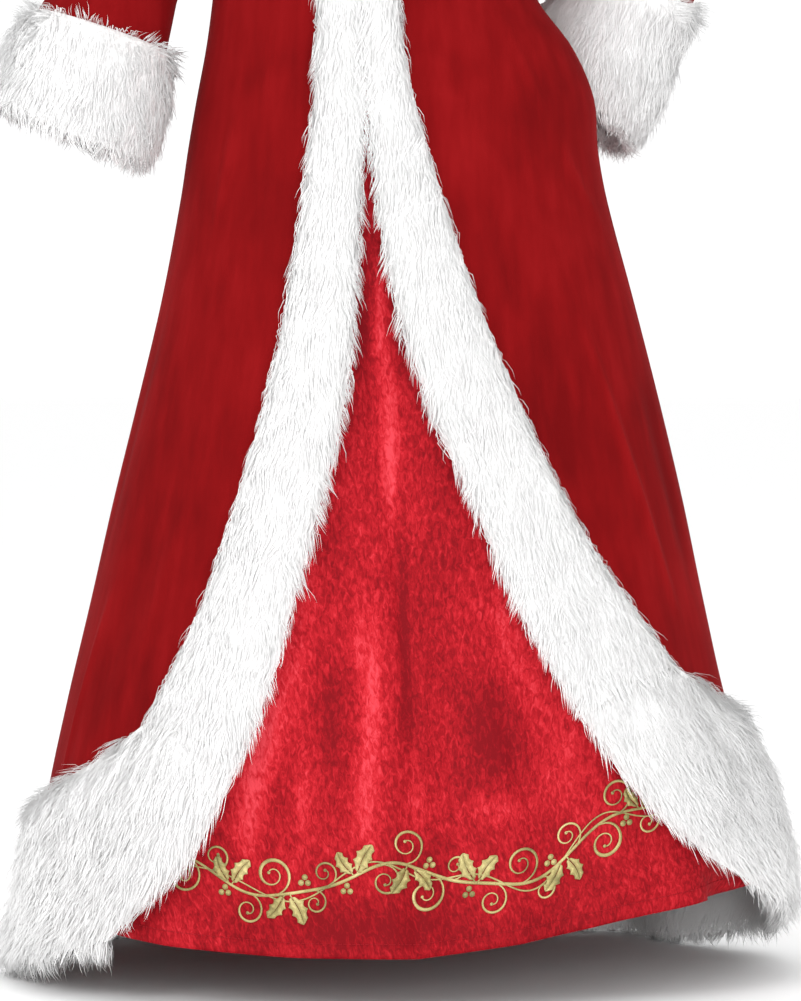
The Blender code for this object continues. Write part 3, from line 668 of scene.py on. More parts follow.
def tellCut(name, points):  # what the flat cut of this cloth measures
    across = np.linalg.norm(np.diff(points, axis=1), axis=-1).sum(axis=1).max()
    down = np.linalg.norm(np.diff(points, axis=0), axis=-1).sum(axis=0).max()
    print(f"{name}: {across:.3f} m wide, {down:.3f} m long, {patchArea(points):.3f} square metres")


def addWall(piece, thickness):
    wall = piece.modifiers.new("wall", "SOLIDIFY")
    wall.thickness = thickness
    wall.offset = -1.0


def clothPiece(name, mesh, finish, nodes):
    piece = finishPiece(name, mesh, finishes[finish])
    addWall(piece, body["clothThickness"])
    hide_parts(*nodes)
    return piece


robePieces = {
    "yokeRows": 24,  # the sleeves have two turns for each, so that the edges meet point to point
    "bodyRows": 90,
    "hemRows": 8,
    "bandColumns": 8,
    "frontColumns": 80,
    "backColumns": 130,
    # a crease this high or deep gives a full unit of painted light or painted shade in the robe's colour
    "creaseLightDepth": 0.0040,
    "cuts": {"left": (0.39, 1.61, 0.405), "right": (0.45, 1.70, 0.438), "back": (1.02, 1.60, 1.04)},
}


def paintCreaseLight(piece, points):  # painted light and shade: the robe's red is made lighter on crease ridges and darker in crease hollows
    angle = np.degrees(np.arctan2(points[..., 0], -points[..., 1]))
    height = points[..., 2] - floorZ
    push = creasePush(body["creases"], angle, height, np.hypot(points[..., 0], points[..., 1]))
    layer = piece.data.attributes.new("paintedCreaseLight", "FLOAT", "POINT")
    layer.data.foreach_set("value", (push[::-1] / robePieces["creaseLightDepth"]).ravel())


def makeRobe():
    look = robePieces
    fronts = [share - 1 for share in steps(look["bandColumns"])] + steps(look["frontColumns"], 1)
    backs = steps(look["backColumns"])
    down = (steps(look["yokeRows"])[::-1][:-1], steps(look["bodyRows"]), steps(look["hemRows"], 1))
    for part, side, shares in (("front_left", "left", fronts), ("front_right", "right", fronts),
                               ("back", "back", backs)):
        points = clothGrid(side, shares, *down)
        name = "robe" + part.title().replace("_", "")
        tellCut(name, points)
        nodes = ("robe_" + part, "yoke_" + part)
        piece = clothPiece(name, gridMesh(points, clothMap(points)), "robe", nodes)
        paintCreaseLight(piece, points)


makeRobe()
print("robe made")

panel = {
    "topHeight": 0.925,
    "gap": 0.0009,
    "lowGap": 0.0070,
    "lowHeight": 0.30,
    "sink": 0.006,
    "sinkShare": 0.16,
    "sinkDrop": 0.25,
    "lap": 0.022,
    "columns": 130,
    "rows": 130,
    "rowPower": 0.85,
    "cut": (0.80, 0.97, 0.235),
    "folds": rows(Fold,
        (-40, 6, 0.007, 0.45),
        (-27, 5, -0.008, 0.5),
        (-14, 6, 0.006, 0.55),
        (3, 5, 0.009, 0.8),
        (11, 4, -0.01, 0.75),
        (24, 6, 0.006, 0.55),
        (37, 5, -0.009, 0.45),
        (49, 6, 0.006, 0.4),
        (61.5, 4.5, 0.01, 0.3),
        (70, 4.5, -0.045, 0.34),
    ),
    "hem": rows(PanelHem,
        (-62, 0.074),
        (-40, 0.064),
        (-15, 0.058),
        (10, 0.057),
        (30, 0.07),
        (40, 0.08),
        (48, 0.089),
        (62, 0.101),
        (90, 0.112),
    ),
    "creases": rows(Crease,
        (2, 0.69, 0.5, 0.43, 0.0055, 0.003, 0.002),
        (6, 0.56, 8.5, 0.34, 0.006, -0.0035, 0.002),
        (-2, 0.36, -4, 0.13, 0.008, 0.004, 0.003),
        (-11, 0.42, -15, 0.21, 0.007, -0.0028, -0.002),
        (-19, 0.33, -25, 0.14, 0.008, 0.003, 0.003),
        (-33, 0.23, -39, 0.1, 0.007, 0.003, 0.002),
        (15, 0.4, 19, 0.19, 0.008, 0.0026, -0.002),
        (29, 0.33, 35, 0.16, 0.008, -0.0028, 0.002),
        (43, 0.24, 52, 0.13, 0.007, 0.0026, 0.002),
    ),
}
PaintedLightSpot = namedtuple("PaintedLightSpot", "angle height width tall strength")
paintedLightSpots = rows(PaintedLightSpot,  # painted highlights where strength is above 0, painted shade where it is below
    (6.6, 0.6, 3, 0.07, 0.9),
    (6, 0.525, 1.8, 0.045, 0.8),
    (0.8, 0.321, 2.4, 0.075, 1),
    (-2.5, 0.375, 1.4, 0.035, 0.6),
    (-0.6, 0.22, 2.6, 0.06, 0.9),
    (-18, 0.33, 4.6, 0.045, 0.6),
    (-23.5, 0.27, 4, 0.05, 1),
    (-17, 0.42, 3.6, 0.04, 0.5),
    (-25.4, 0.2, 3, 0.045, 1),
    (-14.1, 0.213, 1.7, 0.045, 0.6),
    (-37.7, 0.08, 5, 0.014, 0.5),
    (31, 0.39, 4.5, 0.05, 0.5),
    (36, 0.33, 3.8, 0.042, 0.5),
    (41, 0.278, 2.6, 0.04, 0.3),
    (25.4, 0.205, 7, 0.018, 0.7),
    (39.7, 0.225, 3.6, 0.028, 0.22),
    (10, 0.232, 2, 0.055, 0.5),
    (27, 0.285, 8.5, 0.06, -0.65),
    (8.7, 0.37, 1.4, 0.1, -0.9),
    (9, 0.29, 4.5, 0.03, -0.5),
    (10.6, 0.15, 5, 0.035, -0.5),
    (-8.5, 0.272, 2.6, 0.06, -0.6),
    (18, 0.45, 5, 0.06, -0.4),
    (3.6, 0.69, 1.4, 0.045, 0.9),
    (-2.6, 0.69, 2.6, 0.045, -0.8),
    (10.6, 0.69, 3.2, 0.045, -0.8),
    (0, 0.085, 40, 0.022, -0.6),
)


def panelPoints(share, down):  # share 0 to 1 across, down 0 to 1 from the top to the hem
    share, down = np.broadcast_arrays(np.asarray(share, float), np.asarray(down, float))
    height = np.full(share.shape, panel["topHeight"])
    for _ in range(8):  # the hem depends on the angle and the angle on the height
        lap = np.degrees(panel["lap"] / readSmooth(body["sections"], "front", height))
        angle = mix(frontEdge("left", height) - lap, frontEdge("right", height) + lap, share)
        height = mix(panel["topHeight"], readStraight(panel["hem"], "hem", angle), down)
    inner = ease(np.minimum(share, 1 - share) / panel["sinkShare"])
    openShare = limit((panel["topHeight"] - height) / panel["sinkDrop"])
    lowShare = limit((panel["lowHeight"] - height) / panel["lowHeight"])
    sink = body["clothThickness"] + panel["gap"] + panel["sink"] * inner * openShare
    sink = sink + panel["lowGap"] * lowShare
    push = foldPush(panel["folds"], angle, height, 1.0)
    push = push + creasePush(panel["creases"], angle, height, readSmooth(body["sections"], "front", height))
    spot = robeSpot(angle, height)
    turn, rise = 1.0, 0.008
    along = robeSpot(angle + turn, height) - robeSpot(angle - turn, height)
    up = robeSpot(angle, height + rise) - robeSpot(angle, height - rise)
    normal = unit(np.cross(along, up))
    return spot + normal * (push * inner - sink)[..., None], angle, height


def makePanel():
    share = np.array(steps(panel["columns"]))[None, :]
    down = np.array(steps(panel["rows"]))[:, None] ** panel["rowPower"]
    points, angle, height = panelPoints(share, down)
    tellCut("centrePanel", points)
    mesh = gridMesh(points, clothMap(points))
    piece = clothPiece("centrePanel", mesh, "panel", ("centre_panel",))
    # painted light: the listed spots put painted highlights and painted shade into an attribute that the
    # panel's colour reads
    paintedPanelLight = np.zeros_like(height)
    for paintedSpot in paintedLightSpots:
        across = (angle - paintedSpot.angle) / paintedSpot.width
        along = (height - paintedSpot.height) / paintedSpot.tall
        paintedPanelLight += paintedSpot.strength * np.exp(-(across**2) - along**2)
    layer = piece.data.attributes.new("paintedPanelLight", "FLOAT", "POINT")
    layer.data.foreach_set("value", paintedPanelLight[::-1].ravel())


makePanel()
print("centre panel made")


leftSleeve = {
    "side": -1.0,
    "rings": rows(Ring,
        (0.19, 0, 1.374, 18, 0, 0.078, 0.072),
        (0.211, 0, 1.3615, 34, 0, 0.076, 0.071),
        (0.2267, -0.001, 1.3388, 52, 0, 0.072, 0.0695),
        (0.2322, -0.002, 1.3107, 68, 0, 0.066, 0.0675),
        (0.2328, -0.003, 1.2798, 79, -2, 0.062, 0.0655),
        (0.2335, -0.005, 1.24, 84, -4, 0.06, 0.0645),
        (0.2378, -0.009, 1.19, 85, -4, 0.0595, 0.0635),
        (0.2425, -0.011, 1.145, 84, 3, 0.0595, 0.0625),
        (0.248, -0.007, 1.1, 81, 7, 0.06, 0.062),
        (0.256, 0.002, 1.058, 78, 8, 0.0605, 0.063),
        (0.2665, 0.014, 1.02, 75, 6, 0.0645, 0.066),
        (0.278, 0.024, 0.988, 72, 2, 0.07, 0.07),
        (0.286, 0.031, 0.964, 70, 0, 0.0735, 0.072),
        (0.2935, 0.037, 0.94, 69, -2, 0.0755, 0.073),
        (0.301, 0.042, 0.916, 68, -3, 0.0765, 0.074),
        (0.3085, 0.047, 0.893, 67, -4, 0.077, 0.074),
    ),
    # creases on a sleeve: turn round it in degrees, and place along it in rings
    "creases": rows(Crease,
        (-70, 7.6, 60, 8.3, 0.007, -0.003, 0.004),
        (-50, 8.6, 80, 9, 0.0065, 0.0026, 0.004),
        (-20, 9.5, 120, 10.4, 0.007, -0.0032, 0.004),
        (100, 8.2, 200, 7.4, 0.008, -0.003, 0.004),
        (130, 9.6, 230, 9.1, 0.008, 0.0026, 0.004),
        (30, 3.2, 80, 5, 0.009, -0.0028, 0.003),
        (-60, 2.6, -110, 4.6, 0.009, -0.0028, 0.003),
        (150, 3, 190, 5.4, 0.009, 0.0024, 0.003),
    ),
    "cut": (0.48, 0.63, 0.235),
    "cuffStart": 11,
    "cuffCut": (0.48, 0.155, 0.064),
}
rightSleeve = {
    "side": 1.0,
    "rings": rows(Ring,
        (0.19, -0.002, 1.374, 17, -5, 0.078, 0.072),
        (0.206, -0.006, 1.366, 27, -12, 0.076, 0.071),
        (0.222, -0.013, 1.353, 37, -20, 0.073, 0.07),
        (0.2372, -0.022, 1.3357, 46, -26, 0.07, 0.068),
        (0.2528, -0.034, 1.311, 53, -29, 0.0665, 0.066),
        (0.274, -0.053, 1.276, 58, -30, 0.0645, 0.065),
        (0.296, -0.075, 1.236, 61, -28, 0.0635, 0.064),
        (0.311, -0.097, 1.192, 74, -23, 0.0635, 0.064),
        (0.315, -0.117, 1.145, 91, -16, 0.0635, 0.064),
        (0.306, -0.134, 1.097, 105, -10, 0.0635, 0.064),
        (0.288, -0.145, 1.049, 112, -4, 0.064, 0.065),
        (0.265, -0.15, 1.005, 116, 2, 0.065, 0.066),
        (0.254, -0.15, 0.983, 117, 5, 0.066, 0.066),
        (0.243, -0.148, 0.961, 118, 8, 0.0665, 0.066),
        (0.2315, -0.145, 0.94, 119, 10, 0.0665, 0.066),
        (0.22, -0.141, 0.919, 119, 10, 0.0665, 0.066),
    ),
    "creases": rows(Crease,
        (130, 6.8, 220, 7.3, 0.008, -0.0042, 0.004),
        (120, 7.8, 235, 8, 0.008, 0.0036, 0.004),
        (130, 8.6, 230, 8.7, 0.008, -0.0042, 0.004),
        (110, 9.4, 215, 9.7, 0.008, 0.0032, 0.004),
        (60, 7, 120, 7.6, 0.008, -0.0026, 0.003),
        (240, 7.4, 300, 7, 0.008, -0.0026, 0.003),
        (40, 3, 90, 5, 0.009, -0.0028, 0.003),
        (-60, 2.6, -100, 4.8, 0.009, -0.0028, 0.003),
        (-20, 9.8, 60, 10.6, 0.007, -0.0026, 0.003),
    ),
    "cut": (0.48, 0.69, 0.245),
    "cuffStart": 10,
    "cuffCut": (0.42, 0.22, 0.083),
}
sleeveMake = {
    "turns": 2 * robePieces["yokeRows"],
    "ringSteps": 6,
    "ringLength": 0.034,
    "radius": 0.066,
    "capShares": (0.0, 0.25, 0.5, 0.75),
}
RingSpot = namedtuple("RingSpot", "place out forward height slope swing wide deep")


def sleeveFrames(look, places):  # centre, outward and front of the rings at these places
    table = [RingSpot(index, *ring) for index, ring in enumerate(look["rings"])]
    read = {name: readSmooth(table, name, places) for name in Ring._fields}
    slope, swing, side = np.radians(read["slope"]), np.radians(read["swing"]), look["side"]
    level = np.cos(swing)
    axis = np.stack([side * np.cos(slope) * level, -np.sin(swing), -np.sin(slope) * level], axis=-1)
    front = unit(np.array([0.0, -1.0, 0.0]) + axis * axis[..., 1:2])
    outer = unit(np.cross(front, axis)) * side
    centre = np.stack([side * read["out"], -read["forward"], read["height"] + floorZ], axis=-1)
    return centre, outer, front, read["wide"], read["deep"]


def sleevePoints(look, places, turns):
    # turn 0 is the top of the sleeve, 90 its front, 180 the underarm
    centre, outer, front, wide, deep = sleeveFrames(look, places)
    turn = np.radians(turns)
    reach = np.broadcast_to(places, np.broadcast_shapes(places.shape, turns.shape))
    push = sleeveCreases(look, turns + 0 * reach, reach)
    ring = outer * (wide * np.cos(turn))[..., None] + front * (deep * np.sin(turn))[..., None]
    return centre + ring + unit(ring) * push[..., None]


def sleeveCreases(look, turns, places):
    long = sleeveMake["ringLength"]
    metric = [crease._replace(fromHeight=crease.fromHeight * long, toHeight=crease.toHeight * long)
              for crease in look["creases"]]
    return creasePush(metric, turns, places * long, sleeveMake["radius"])


def armholeLoop(side, turns):
    climb = 1 - np.abs(turnBetween(turns, 0.0)) / 180.0
    across = readSmooth(body["armhole"], "across", climb) * side
    height = readSmooth(body["armhole"], "height", climb)
    chest, blades = yokePoint(across, height, -1), yokePoint(across, height, 1)
    loop = np.where((turnBetween(turns, 0.0) > 0)[..., None], chest, blades)
    loop[..., 1] = np.where((climb == 0) | (climb == 1), 0.0, loop[..., 1])
    return loop


def makeSleeve(name, look, nodes):
    last = len(look["rings"]) - 1
    turns = np.array([360.0 * step / sleeveMake["turns"] for step in range(sleeveMake["turns"] + 1)])
    turns = np.where(turns > 180.0, turns - 360.0, turns)
    places = np.array([step / sleeveMake["ringSteps"] for step in range(last * sleeveMake["ringSteps"] + 1)])
    lower = sleevePoints(look, places[:, None], turns[None, :])
    armhole = armholeLoop(look["side"], turns)
    between = [mix(armhole, lower[0], share) for share in sleeveMake["capShares"]]
    points = np.concatenate([np.stack(between), lower])
    if look["side"] > 0:
        points = points[:, ::-1]
    tellCut(name, points)
    mesh = gridMesh(points, clothMap(points))
    bmesh.ops.remove_doubles(mesh, verts=mesh.verts[:], dist=mergeDistance)
    clothPiece(name, mesh, "robe", nodes)


makeSleeve("sleeveLeft", leftSleeve, ("sleeve_left",))
rightNodes = ("sleeve_right_top", "sleeve_right_upper", "sleeve_right_elbow", "sleeve_right_lower")
makeSleeve("sleeveRight", rightSleeve, rightNodes)
print("sleeves made")


# the gold border, laid out flat in metres: across from the centre, and up from the hem

Scroll = namedtuple("Scroll", "across side radius turns width")
Leaf = namedtuple("Leaf", "across turn length width")
Berries = namedtuple("Berries", "across side away")
border = {
    "from": -0.198,
    "to": 0.322,
    "stemWidth": 0.0032,
    "vineWidth": 0.0016,
    "lift": 0.0009,
    "foil": 0.0005,
    "points": 150,
    "taperPower": 0.35,
    "stemEnd": 0.35,
    "vineEnd": 0.5,
    "scrolls": rows(Scroll,
        (-0.18, -1, 0.019, 1.6, 0.0026),
        (-0.16, 1, 0.015, 1.45, 0.0022),
        (-0.117, -1, 0.016, 1.5, 0.0024),
        (-0.092, 1, 0.02, 1.65, 0.004),
        (-0.055, -1, 0.013, 1.35, 0.002),
        (-0.04, 1, 0.014, 1.4, 0.0021),
        (0.012, -1, 0.017, 1.55, 0.0024),
        (0.034, 1, 0.019, 1.6, 0.0028),
        (0.066, -1, 0.02, 1.6, 0.0038),
        (0.082, 1, 0.0135, 1.4, 0.002),
        (0.126, -1, 0.0165, 1.5, 0.0023),
        (0.15, 1, 0.0195, 1.6, 0.0028),
        (0.172, -1, 0.013, 1.35, 0.002),
        (0.208, 1, 0.015, 1.45, 0.0022),
        (0.228, -1, 0.0195, 1.6, 0.0038),
        (0.25, 1, 0.0185, 1.6, 0.0026),
        (0.282, -1, 0.014, 1.4, 0.002),
        (0.296, 1, 0.015, 1.45, 0.0022),
    ),
    "leaves": rows(Leaf,
        (-0.137, 54, 0.028, 0.0185),
        (-0.139, 116, 0.025, 0.0165),
        (-0.082, 234, 0.026, 0.0175),
        (-0.078, 296, 0.029, 0.019),
        (-0.012, 62, 0.03, 0.02),
        (-0.014, 126, 0.025, 0.0165),
        (0.039, 240, 0.028, 0.0185),
        (0.044, 306, 0.026, 0.017),
        (0.108, 50, 0.027, 0.018),
        (0.106, 112, 0.029, 0.019),
        (0.194, 236, 0.028, 0.0185),
        (0.198, 298, 0.025, 0.0165),
        (0.274, 58, 0.024, 0.0155),
        (0.272, 122, 0.022, 0.0145),
    ),
    "berries": rows(Berries,
        (-0.143, -1, 0.0095),
        (-0.063, 1, 0.01),
        (-0.021, -1, 0.0095),
        (0.061, 1, 0.0095),
        (0.1, -1, 0.01),
        (0.182, 1, 0.0095),
        (0.259, -1, 0.0095),
    ),
    "berryRadius": 0.0029,
    "berryPlaces": ((90.0, 0.0038), (205.0, 0.0040), (330.0, 0.0036)),
    "curl": {"stepsPerTurn": 26, "shrink": 0.80, "shrinkPower": 0.85, "thin": 0.0012, "least": 0.0010,
             "swell": 0.75, "swellRun": 1.6, "swellPower": 1.2, "endRadius": 0.0016},
    "leaf": {"steps": 33, "spines": 3.5, "spineDepth": 0.36, "stalk": 0.004, "bow": 0.0018,
             "vein": 0.00045, "veinEnd": 0.00005, "stalkWidths": (0.0016, 0.0013, 0.0010)},
}
# each wave of the stems has a height, a length and a start
stem = {
    "height": 0.075,
    "wave": (0.0165, 0.236, 0.9),
    "ripple": (0.0030, 0.101, 0.0),
    "vine": (0.0085, 0.118, 2.2),
    "rise": 0.020,
    "riseFrom": 0.16,
    "riseOver": 0.15,
}
topstitch = {
    "up": 0.0145,
    "length": 0.0032,
    "every": 0.0046,
    "thick": 0.0006,
    "lift": 0.0004,
    "from": 0.01,
    "to": 0.99,
    "points": 900,
    "hemTurns": 4,
}
# how a place on the panel is found: turns of the search, where it starts and how far it may move
placing = {"turns": 14, "hem": 0.06, "step": 0.004, "leastRun": 0.0006, "mostMove": 0.1, "edge": 0.02}


def sineWave(across, size, length, start):
    return size * np.sin(2 * np.pi * across / length + start)


def stemLine(across):  # the wavy stem, rising a little towards the right
    wave = sineWave(across, *stem["wave"]) + sineWave(across, *stem["ripple"])
    return stem["height"] + wave + stem["rise"] * ease((across - stem["riseFrom"]) / stem["riseOver"])


def vineLine(across):  # a finer stem that weaves about the first
    return stemLine(across) + sineWave(across, *stem["vine"])


def stemTurn(across):
    step = 0.002
    return math.atan2(float(stemLine(across + step) - stemLine(across - step)), 2 * step)


def layDisc(mesh, place, segments, radius):
    for vertex in bmesh.ops.create_circle(mesh, cap_ends=True, segments=segments, radius=radius)["verts"]:
        vertex.co.x += place[0]
        vertex.co.y += place[1]


def layStrip(mesh, left, right):  # a strip between two lines of points
    count = len(left)
    made = bmesh.ops.create_grid(mesh, x_segments=1, y_segments=count - 1, size=1.0)["verts"]
    flat = np.stack([left, right], axis=1).reshape(-1, 2)
    for vertex, place in zip(made, flat):
        vertex.co = (place[0], place[1], 0.0)


def layRibbon(mesh, path, widths):
    run = np.gradient(path, axis=0)
    aside = unit(np.stack([-run[:, 1], run[:, 0]], axis=-1)) * (widths / 2)[:, None]
    layStrip(mesh, path + aside, path - aside)


def layScroll(mesh, scroll):
    look = border["curl"]
    base = np.array([scroll.across, float(stemLine(scroll.across))])
    ahead = stemTurn(scroll.across)
    share = np.linspace(0.0, 1.0, int(look["stepsPerTurn"] * scroll.turns))
    radius = scroll.radius * (1 - look["shrink"] * share ** look["shrinkPower"])
    turn = ahead + scroll.side * (np.pi * 2 * scroll.turns * share - np.pi / 2)
    aside = np.array([-math.sin(ahead), math.cos(ahead)]) * scroll.side * scroll.radius
    path = base + aside + np.stack([np.cos(turn), np.sin(turn)], axis=-1) * radius[:, None]
    swell = np.sin(np.pi * np.minimum(share * look["swellRun"], 1.0)) ** look["swellPower"]
    layRibbon(mesh, path, look["thin"] + (scroll.width - look["least"]) * look["swell"] * swell)
    layDisc(mesh, path[-1], 12, look["endRadius"])


def layLeaf(mesh, leaf):  # a spiny leaf in two halves with a fine vein left open between them
    look = border["leaf"]
    root = np.array([leaf.across, float(stemLine(leaf.across))])
    turn = math.radians(leaf.turn)
    ahead = np.array([math.cos(turn), math.sin(turn)])
    aside = np.array([-ahead[1], ahead[0]])
    share = np.linspace(0.0, 1.0, look["steps"])
    spines = 1 - look["spineDepth"] * np.abs(np.sin(look["spines"] * np.pi * share)) ** 0.7
    lobes = np.sin(np.pi * share**0.9) ** 0.5 * spines
    spine = root + ahead * (look["stalk"] + share * leaf.length)[:, None]
    spine = spine + aside * (look["bow"] * np.sin(np.pi * share))[:, None]
    vein = look["vein"] * (1 - share) + look["veinEnd"]
    for half in (-1.0, 1.0):
        outer = spine + aside * (half * np.maximum(lobes * leaf.width / 2, vein))[:, None]
        inner = spine + aside * (half * vein)[:, None]
        if half > 0:
            outer, inner = inner, outer
        layStrip(mesh, outer, inner)
    stalk = np.stack([root, root + ahead * 0.003, root + ahead * 0.006])
    layRibbon(mesh, stalk, np.array(look["stalkWidths"]))


def layBerries(mesh, group):
    root = np.array([group.across, float(stemLine(group.across)) + group.side * group.away])
    for turn, away in border["berryPlaces"]:
        aside = np.array([math.cos(math.radians(turn)), math.sin(math.radians(turn))]) * away
        layDisc(mesh, root + aside, 14, border["berryRadius"])


def onPanel(across, up, lift):  # a place on the panel, from its distance across and up from the hem
    step, most = placing["step"], placing["mostMove"]
    share = np.full(across.shape, 0.5)
    hem = np.full(across.shape, placing["hem"])
    for _ in range(placing["turns"]):
        down = 1 - up / (panel["topHeight"] - hem)
        here, angle, _ = panelPoints(share, down)
        near, _, _ = panelPoints(share + step, down)
        slope = np.maximum(near[..., 0] - here[..., 0], placing["leastRun"]) / step
        share = share + limit((across - here[..., 0]) / slope, -most, most)
        share = limit(share, placing["edge"], 1 - placing["edge"] - step)
        hem = readStraight(panel["hem"], "hem", angle)
    here, _, _ = panelPoints(share, down)
    right, _, _ = panelPoints(share + step, down)
    lower, _, _ = panelPoints(share, down + step)
    outward = unit(np.cross(right - here, here - lower))
    return here + outward * lift, outward


def makeBorder():
    look = border
    mesh = bmesh.new()
    across = np.linspace(look["from"], look["to"], look["points"])
    taper = np.sin(np.pi * limit((across - look["from"]) / (look["to"] - look["from"]))) ** look["taperPower"]
    for line, width, end in ((stemLine, look["stemWidth"], look["stemEnd"]),
                             (vineLine, look["vineWidth"], look["vineEnd"])):
        layRibbon(mesh, np.stack([across, line(across)], axis=-1), width * mix(end, 1, taper))
    for scroll in look["scrolls"]:
        layScroll(mesh, scroll)
    for leaf in look["leaves"]:
        layLeaf(mesh, leaf)
    for group in look["berries"]:
        layBerries(mesh, group)
    flat = np.array([vertex.co[:2] for vertex in mesh.verts])
    places, _ = onPanel(flat[:, 0], flat[:, 1], look["lift"])
    for vertex, place in zip(mesh.verts, places):
        vertex.co = place
    bmesh.ops.triangulate(mesh, faces=mesh.faces[:])
    piece = finishPiece("goldBorder", mesh, finishes["gold"])
    addWall(piece, look["foil"])
    print("gold border", len(piece.data.polygons), "faces before its wall")


def makeTopstitch():  # a row of stitches above the panel's hem
    look = topstitch
    share = np.linspace(look["from"], look["to"], look["points"])
    hem = np.full(share.shape, placing["hem"])
    for _ in range(look["hemTurns"]):
        _, angle, _ = panelPoints(share, 1 - look["up"] / (panel["topHeight"] - hem))
        hem = readStraight(panel["hem"], "hem", angle)
    down = 1 - look["up"] / (panel["topHeight"] - hem)
    line, _, _ = panelPoints(share, down)
    above, _, _ = panelPoints(share, down - placing["step"])
    run = np.concatenate([[0.0], np.cumsum(np.linalg.norm(np.diff(line, axis=0), axis=1))])
    along = unit(np.gradient(line, axis=0))
    outward = unit(np.cross(along, above - line))
    size = Matrix.Diagonal((look["length"], look["thick"], look["thick"], 1.0))
    mesh = bmesh.new()
    for start in np.arange(0.0, run[-1] - look["length"], look["every"]):
        near = int(np.searchsorted(run, start + look["length"] / 2))
        across, out = Vector(along[near]), Vector(outward[near])
        facing = Matrix((across, out.cross(across), out)).transposed().to_4x4()
        place = Matrix.Translation(Vector(line[near]) + out * look["lift"])
        bmesh.ops.create_cube(mesh, size=1.0, matrix=place @ facing @ size)
    piece = finishPiece("hemTopstitch", mesh, finishes["thread"])
    print("topstitch", len(piece.data.polygons), "faces")


makeBorder()
makeTopstitch()
print("gold border and topstitch made")


# plush: a ground in the pile's form, and hair grown from it

plush = {
    "gap": 0.0003,
    "bandTop": 0.0200,
    "hemTop": 0.0235,
    "cuffTop": 0.0190,
    "edgePower": 2.6,
    "crownPower": 2.2,
    "closedHeight": 0.91,
    "closedBlend": 0.08,
    "closedLift": 0.80,
    "groundShare": 0.80,
    "leastLift": 0.0012,
    "floorClear": 0.0008,
}
hair = {
    "density": {"band": 205000, "hem": 178000, "back": 128000, "cuff": 205000, "turn": 105000},
    "length": {"band": 0.021, "hem": 0.024, "back": 0.024, "cuff": 0.019, "turn": 0.022},
    "wispShare": 0.16,
    "wispLength": 1.60,
    "lengthSpread": 0.30,
    "radius": 0.00038,
    "wispRadius": 0.00034,
    "sunk": 0.002,
    "stand": {"band": 0.32, "hem": 0.32, "back": 0.32, "cuff": 0.34, "turn": 0.46},
    "clumpEvery": 36,
    "clumpPull": 0.48,
    "wobble": 0.13,
    "roundness": 0.20,
    "comb": 0.38,
    "clumpSpread": 0.35,
    "clumpLength": 1.25,
    "clumpStray": 1.3,
    "radiusSpread": (0.7, 1.25),
    "rootNap": 0.62,
    "tipStand": 0.22,
    "tipStray": 1.3,
    "bendAt": 0.48,
    "upright": 0.60,
    "riseOut": 0.22,
    "floorClear": 0.0015,
    "most": 196000,  # triangles in one pile
}
strand = {"lowRing": 0.62, "lowReach": 0.3, "highRing": 0.42, "highShare": 0.72, "highReach": 0.68}


def crown(share):  # height of the pile from 0 at both edges to 1 between them
    return limit(1 - np.abs(2 * limit(share) - 1) ** plush["edgePower"]) ** (1 / plush["crownPower"])


def halfCrown(share):  # the same at the first edge, and full from the middle on
    return crown(np.minimum(share, 0.5))


def drape(points, normals):  # the way the pile hangs on the cloth
    down = np.array([0.0, 0.0, -1.0])
    return unit(down - normals * (normals @ down)[..., None])


def hairNap(cloth, normals):  # between straight down and along the piece
    hang = drape(cloth, normals)
    run = np.gradient(cloth, axis=0)
    run = unit(run - normals * (run * normals).sum(axis=-1)[..., None])
    downwards = np.where((run * hang).sum(axis=-1) < 0, -1.0, 1.0)
    return unit(mix(hang, run * downwards[..., None], hair["comb"]))


def sample(patch, count, rng):
    points, normals, nap, lean = patch["points"], patch["normals"], patch["nap"], patch["lean"]
    areas = cellAreas(points).ravel()
    cell = np.searchsorted(np.cumsum(areas) / areas.sum(), rng.random(count))
    cell = np.minimum(cell, areas.size - 1)
    row, column = np.divmod(cell, points.shape[1] - 1)
    s, t = rng.random(count)[:, None], rng.random(count)[:, None]

    def between(grid):
        top = mix(grid[row, column], grid[row, column + 1], s)
        low = mix(grid[row + 1, column], grid[row + 1, column + 1], s)
        return mix(top, low, t)

    return between(points), unit(between(normals)), unit(between(nap)), unit(between(lean))


def growPaths(patch, count, length, rng, wobble):  # root, middle and tip of each strand
    root, normal, nap, lean = sample(patch, count, rng)
    size = (length * (1 + hair["lengthSpread"] * rng.uniform(-1, 1, count)))[:, None]
    stray = rng.normal(0.0, wobble, (count, 3))
    first = unit(lean * patch["stand"] + nap * hair["rootNap"] + stray)
    second = unit(lean * patch["stand"] * hair["tipStand"] + nap + stray * hair["tipStray"])
    root = root - normal * hair["sunk"]
    middle = root + first * size * hair["bendAt"]
    return root, middle, middle + second * size * (1 - hair["bendAt"]), normal


def clump(roots, tips, centreRoots, centreTips):
    tree = kdtree.KDTree(len(centreRoots))
    for index, place in enumerate(centreRoots):
        tree.insert(place, index)
    tree.balance()
    near = np.array([tree.find(place)[1] for place in roots])
    gathered = centreTips[near] + (roots - centreRoots[near]) * hair["clumpSpread"]
    return mix(tips, gathered, hair["clumpPull"])


# the triangles of a strand with one ring, and with two
onePattern = np.array([(0, 2, 1), (0, 3, 2), (0, 1, 3), (1, 2, 4), (2, 3, 4), (3, 1, 4)])
twoPattern = np.array([
    (0, 2, 1), (0, 3, 2), (0, 1, 3), (1, 2, 5), (1, 5, 4), (2, 3, 6), (2, 6, 5),
    (3, 1, 4), (3, 4, 6), (4, 5, 7), (5, 6, 7), (6, 4, 7),
])


